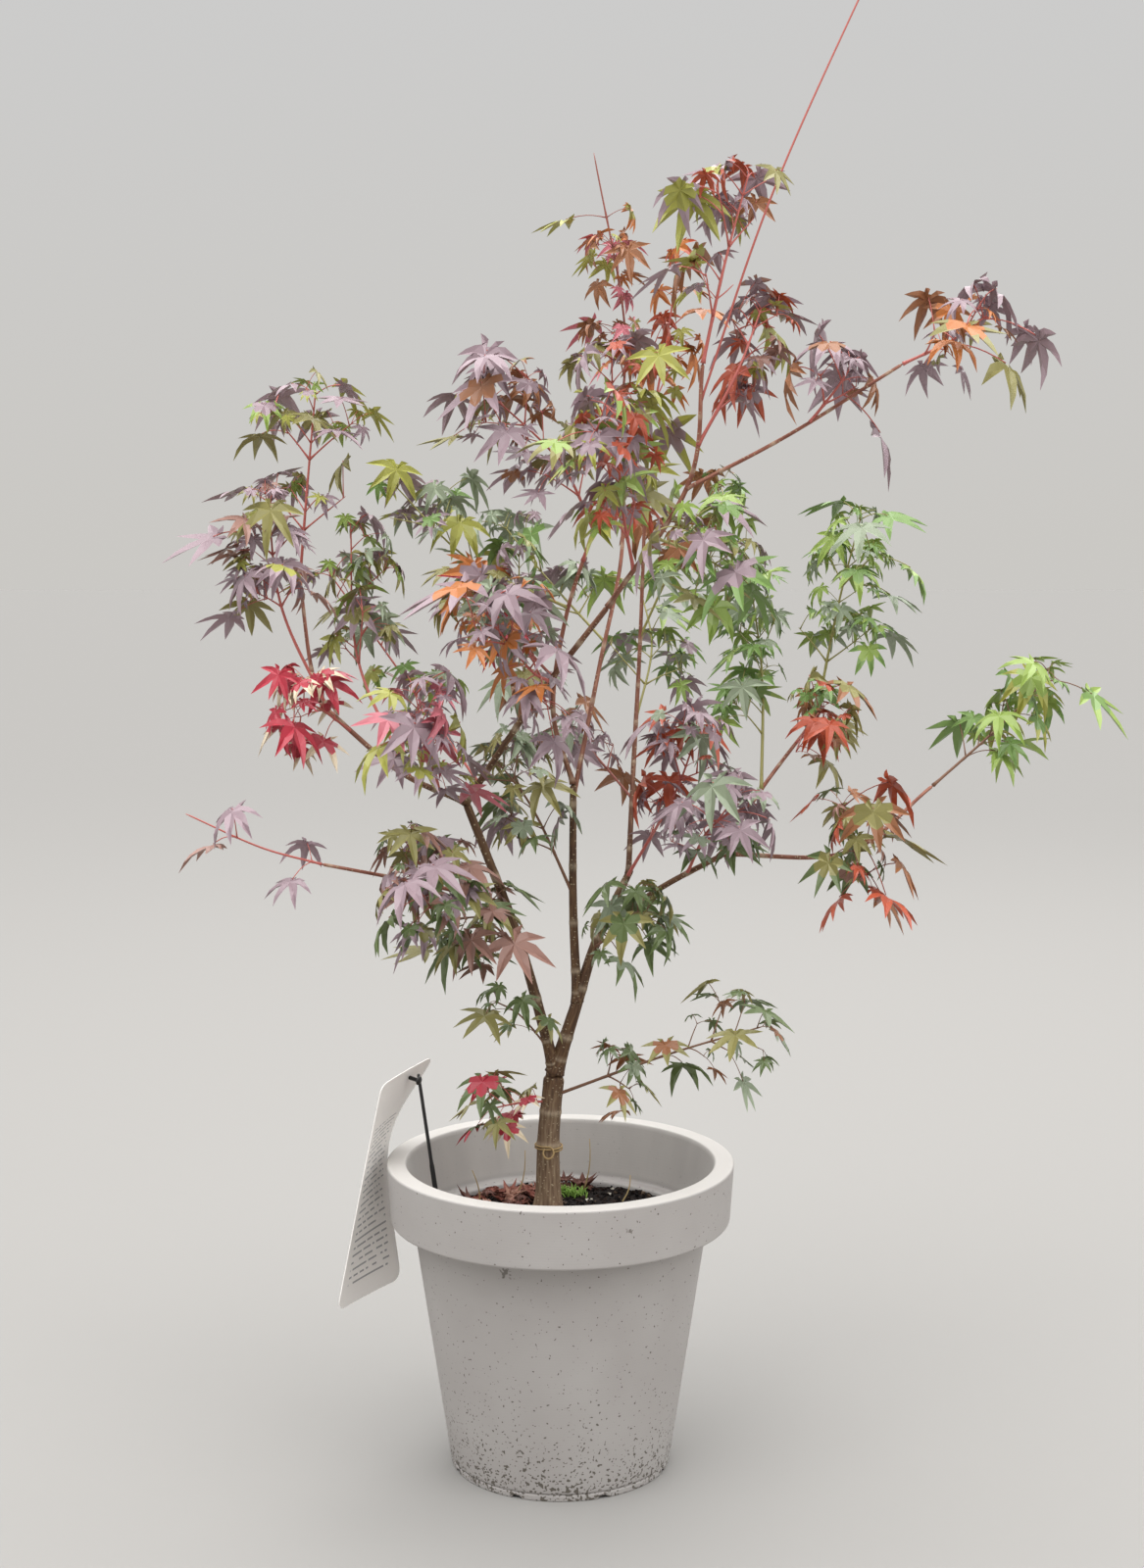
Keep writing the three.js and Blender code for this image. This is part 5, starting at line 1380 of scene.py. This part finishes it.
def makeLeaves(stems):
    # Living blades: a waxy skin, so a soft gloss, each in one plain autumn tint.
    rng = np.random.default_rng(leafForm["seed"])
    materials = {tint: addMaterial(f"leaf blade, {tint}", colour, 0.38, 1.5) for tint, colour in tints.items()}
    for slot in sorted({slotOfNode[stem["name"]] for stem in stems}):
        group = [stem for stem in stems if slotOfNode[stem["name"]] == slot]
        leaves = [leaf for stem in group for leaf in stem["leaves"]]
        points = leafPoints(leaves, rng)
        faces, isTip = leafFaces(len(leaves))
        chosen, edges = [], []
        for stem in group:
            palette = sprays[stem["key"]][0].split()
            for _ in stem["leaves"]:
                pick, other = rng.choice(palette, 2)
                chosen.append(pick)
                edges.append(other if rng.uniform() < leafForm["otherTips"] else pick)
                if pick == "crimson" and rng.uniform() < leafForm["driedTips"]:
                    edges[-1] = "driedEdge"
        used = [tint for tint in tints if tint in chosen + edges]
        body, edge = (np.array([used.index(tint) for tint in picks])[:, None] for picks in (chosen, edges))
        addPiece("leaves" + slot.split("_")[1].capitalize(), points, faces,
                 [materials[tint] for tint in used], slot, [stem["name"] for stem in group],
                 np.where(isTip, edge, body).ravel(), smooth=False)


twigForm = {
    "stemTip": 0.62,
    "stemFoot": 1.55,  # at most
    "nodeSwell": (0.35, 1.6),  # share and width
    "footSwell": (0.5, 3.0),
    "twig": (0.85, 0.5),
    "fineTwig": (0.6, 0.42),
    "twigTip": 0.28,
    "twigFoot": 1.4,  # times its radius
    "twigArch": 1.6,
    "petiole": (0.42, 0.5),
    "petioleArch": 0.07,  # in leaf lengths, as the next
    "petioleInto": 0.06,
    "petioleForm": (1.9, 1.25, 1, 1, 1, 1, 0.8),
}


def stemTube(stem):
    t = twigForm
    share = np.linspace(0, 1, 40)
    length = curveLength(stem["line"])
    foot = min(t["stemFoot"], stem["parent"] * 0.95, 0.45 + 0.25 * stem["pairs"])
    radii = mix((foot, t["stemTip"]), share)
    swell, width = t["nodeSwell"]
    for pair in range(stem["pairs"]):
        node = mix(stem["span"], pair / (stem["pairs"] - 1))
        radii = radii * (1 + swell * np.exp(-((share - node) * length / width) ** 2))
    swell, width = t["footSwell"]
    radii = radii * (1 + swell * np.exp(-share * length / width))
    radii[-2:] *= [0.85, 0.45]
    return sweepTubes([curvePoint(stem["line"], share)], [radii], 8)


def makeTwigs(stems):
    rng = np.random.default_rng(14)
    t = twigForm
    colours = list(shoots)
    materials = [addMaterial(f"young shoot, {name}", shoots[name], 0.5, 1.43) for name in colours]
    parts, choice, petioles = [], [], []
    for stem in stems:
        colour = colours.index(sprays[stem["key"]][1])
        first = len(parts)
        parts.append(stemTube(stem))
        for kind, (foot, tip) in (("twigs", t["twig"]), ("fineTwigs", t["fineTwig"])):
            if not stem[kind]:
                continue
            ends = np.array(stem[kind])
            arch = t["twigArch"] * up * rng.uniform(-0.5, 1, (len(ends), 1, 1))
            lines = archedLines(ends[:, 0], ends[:, 1], 8, arch)
            radii = np.broadcast_to(np.append(np.linspace(foot, tip, 7), t["twigTip"]), (len(ends), 8)).copy()
            radii[:, 0] *= t["twigFoot"]
            parts.append(sweepTubes(lines, radii, 6))
        choice += [np.full(len(faces), colour) for _, faces in parts[first:]]
        petioles += [(leaf["node"], leaf["base"] + leaf["ahead"] * leaf["size"] * t["petioleInto"], leaf["size"],
                      colour) for leaf in stem["leaves"]]
    node, base, size = (np.array([petiole[k] for petiole in petioles]) for k in range(3))
    size = size[:, None]
    rings = len(t["petioleForm"])
    lines = archedLines(node, base, rings, size[..., None] * t["petioleArch"] * up)
    radii = mix(t["petiole"], np.linspace(0, 1, rings)) * np.clip(size / 44, 0.6, 1.1) * np.array(t["petioleForm"])
    parts.append(sweepTubes(lines, radii, 5))
    choice.append(np.repeat([petiole[3] for petiole in petioles], len(parts[-1][1]) // len(petioles)))
    addPiece("twigsAndStalks", *joinParts(parts), materials, "bark", [stem["name"] for stem in stems],
             np.concatenate(choice))


def makeFallenLeaves():
    # Curled dead leaves on the compost, mostly left of and behind the trunk.
    f = litterForm
    rng = np.random.default_rng(21)
    fallen = []
    for k in range(f["fallen"]):
        x, y = (rng.uniform(*span) for span in f["fallenPlaces"][0 if k % 5 else 1])
        if np.hypot(x, y) > f["fallenReach"]:
            x, y = np.array([x, y]) * f["fallenReach"] / np.hypot(x, y)
        heading = rng.uniform(0, 2 * np.pi)
        ahead = unit([np.cos(heading), np.sin(heading), rng.uniform(-0.25, 0.15)])
        face = unit(up + rng.normal(0, 0.22, 3))
        face = unit(face - ahead * (face @ ahead))
        base = np.array([x, y, soilHeight(x, y) + rng.uniform(*f["fallenHeights"])])
        fallen.append({"base": base, "ahead": ahead, "face": face, "across": np.cross(ahead, face),
                       "size": rng.uniform(*f["fallenSizes"])})
    count = len(fallen)
    curl = rng.choice([-0.45, 1], (count, 1), p=[0.3, 0.7]) * rng.uniform(0.8, 2.4, (count, 1))
    points = leafPoints(fallen, rng, curl, f["fallenFold"], f["fallenNotch"])
    faces, _ = leafFaces(count)
    materials = [addMaterial(f"dead leaf, {name}", colour, 0.7) for name, colour, _ in f["fallenKinds"]]
    kinds = rng.choice(len(materials), count, p=[share for _, _, share in f["fallenKinds"]])
    addPiece("fallenLeaves", points, faces, materials, "compost",
             faceMaterials=np.repeat(kinds, len(faces) // count), smooth=False)


addCamera()
addStudio()
makePot()
makeCompost()
makeCrumbs()
makeMossAndStalks()
makeFallenLeaves()
makeStick(makeLabel())
limbs = layOutLimbs()
makeLimbs(limbs)
makeTie()
stems = growCrown(limbs)
makeLeaves(stems)
makeTwigs(stems)

print("finished")
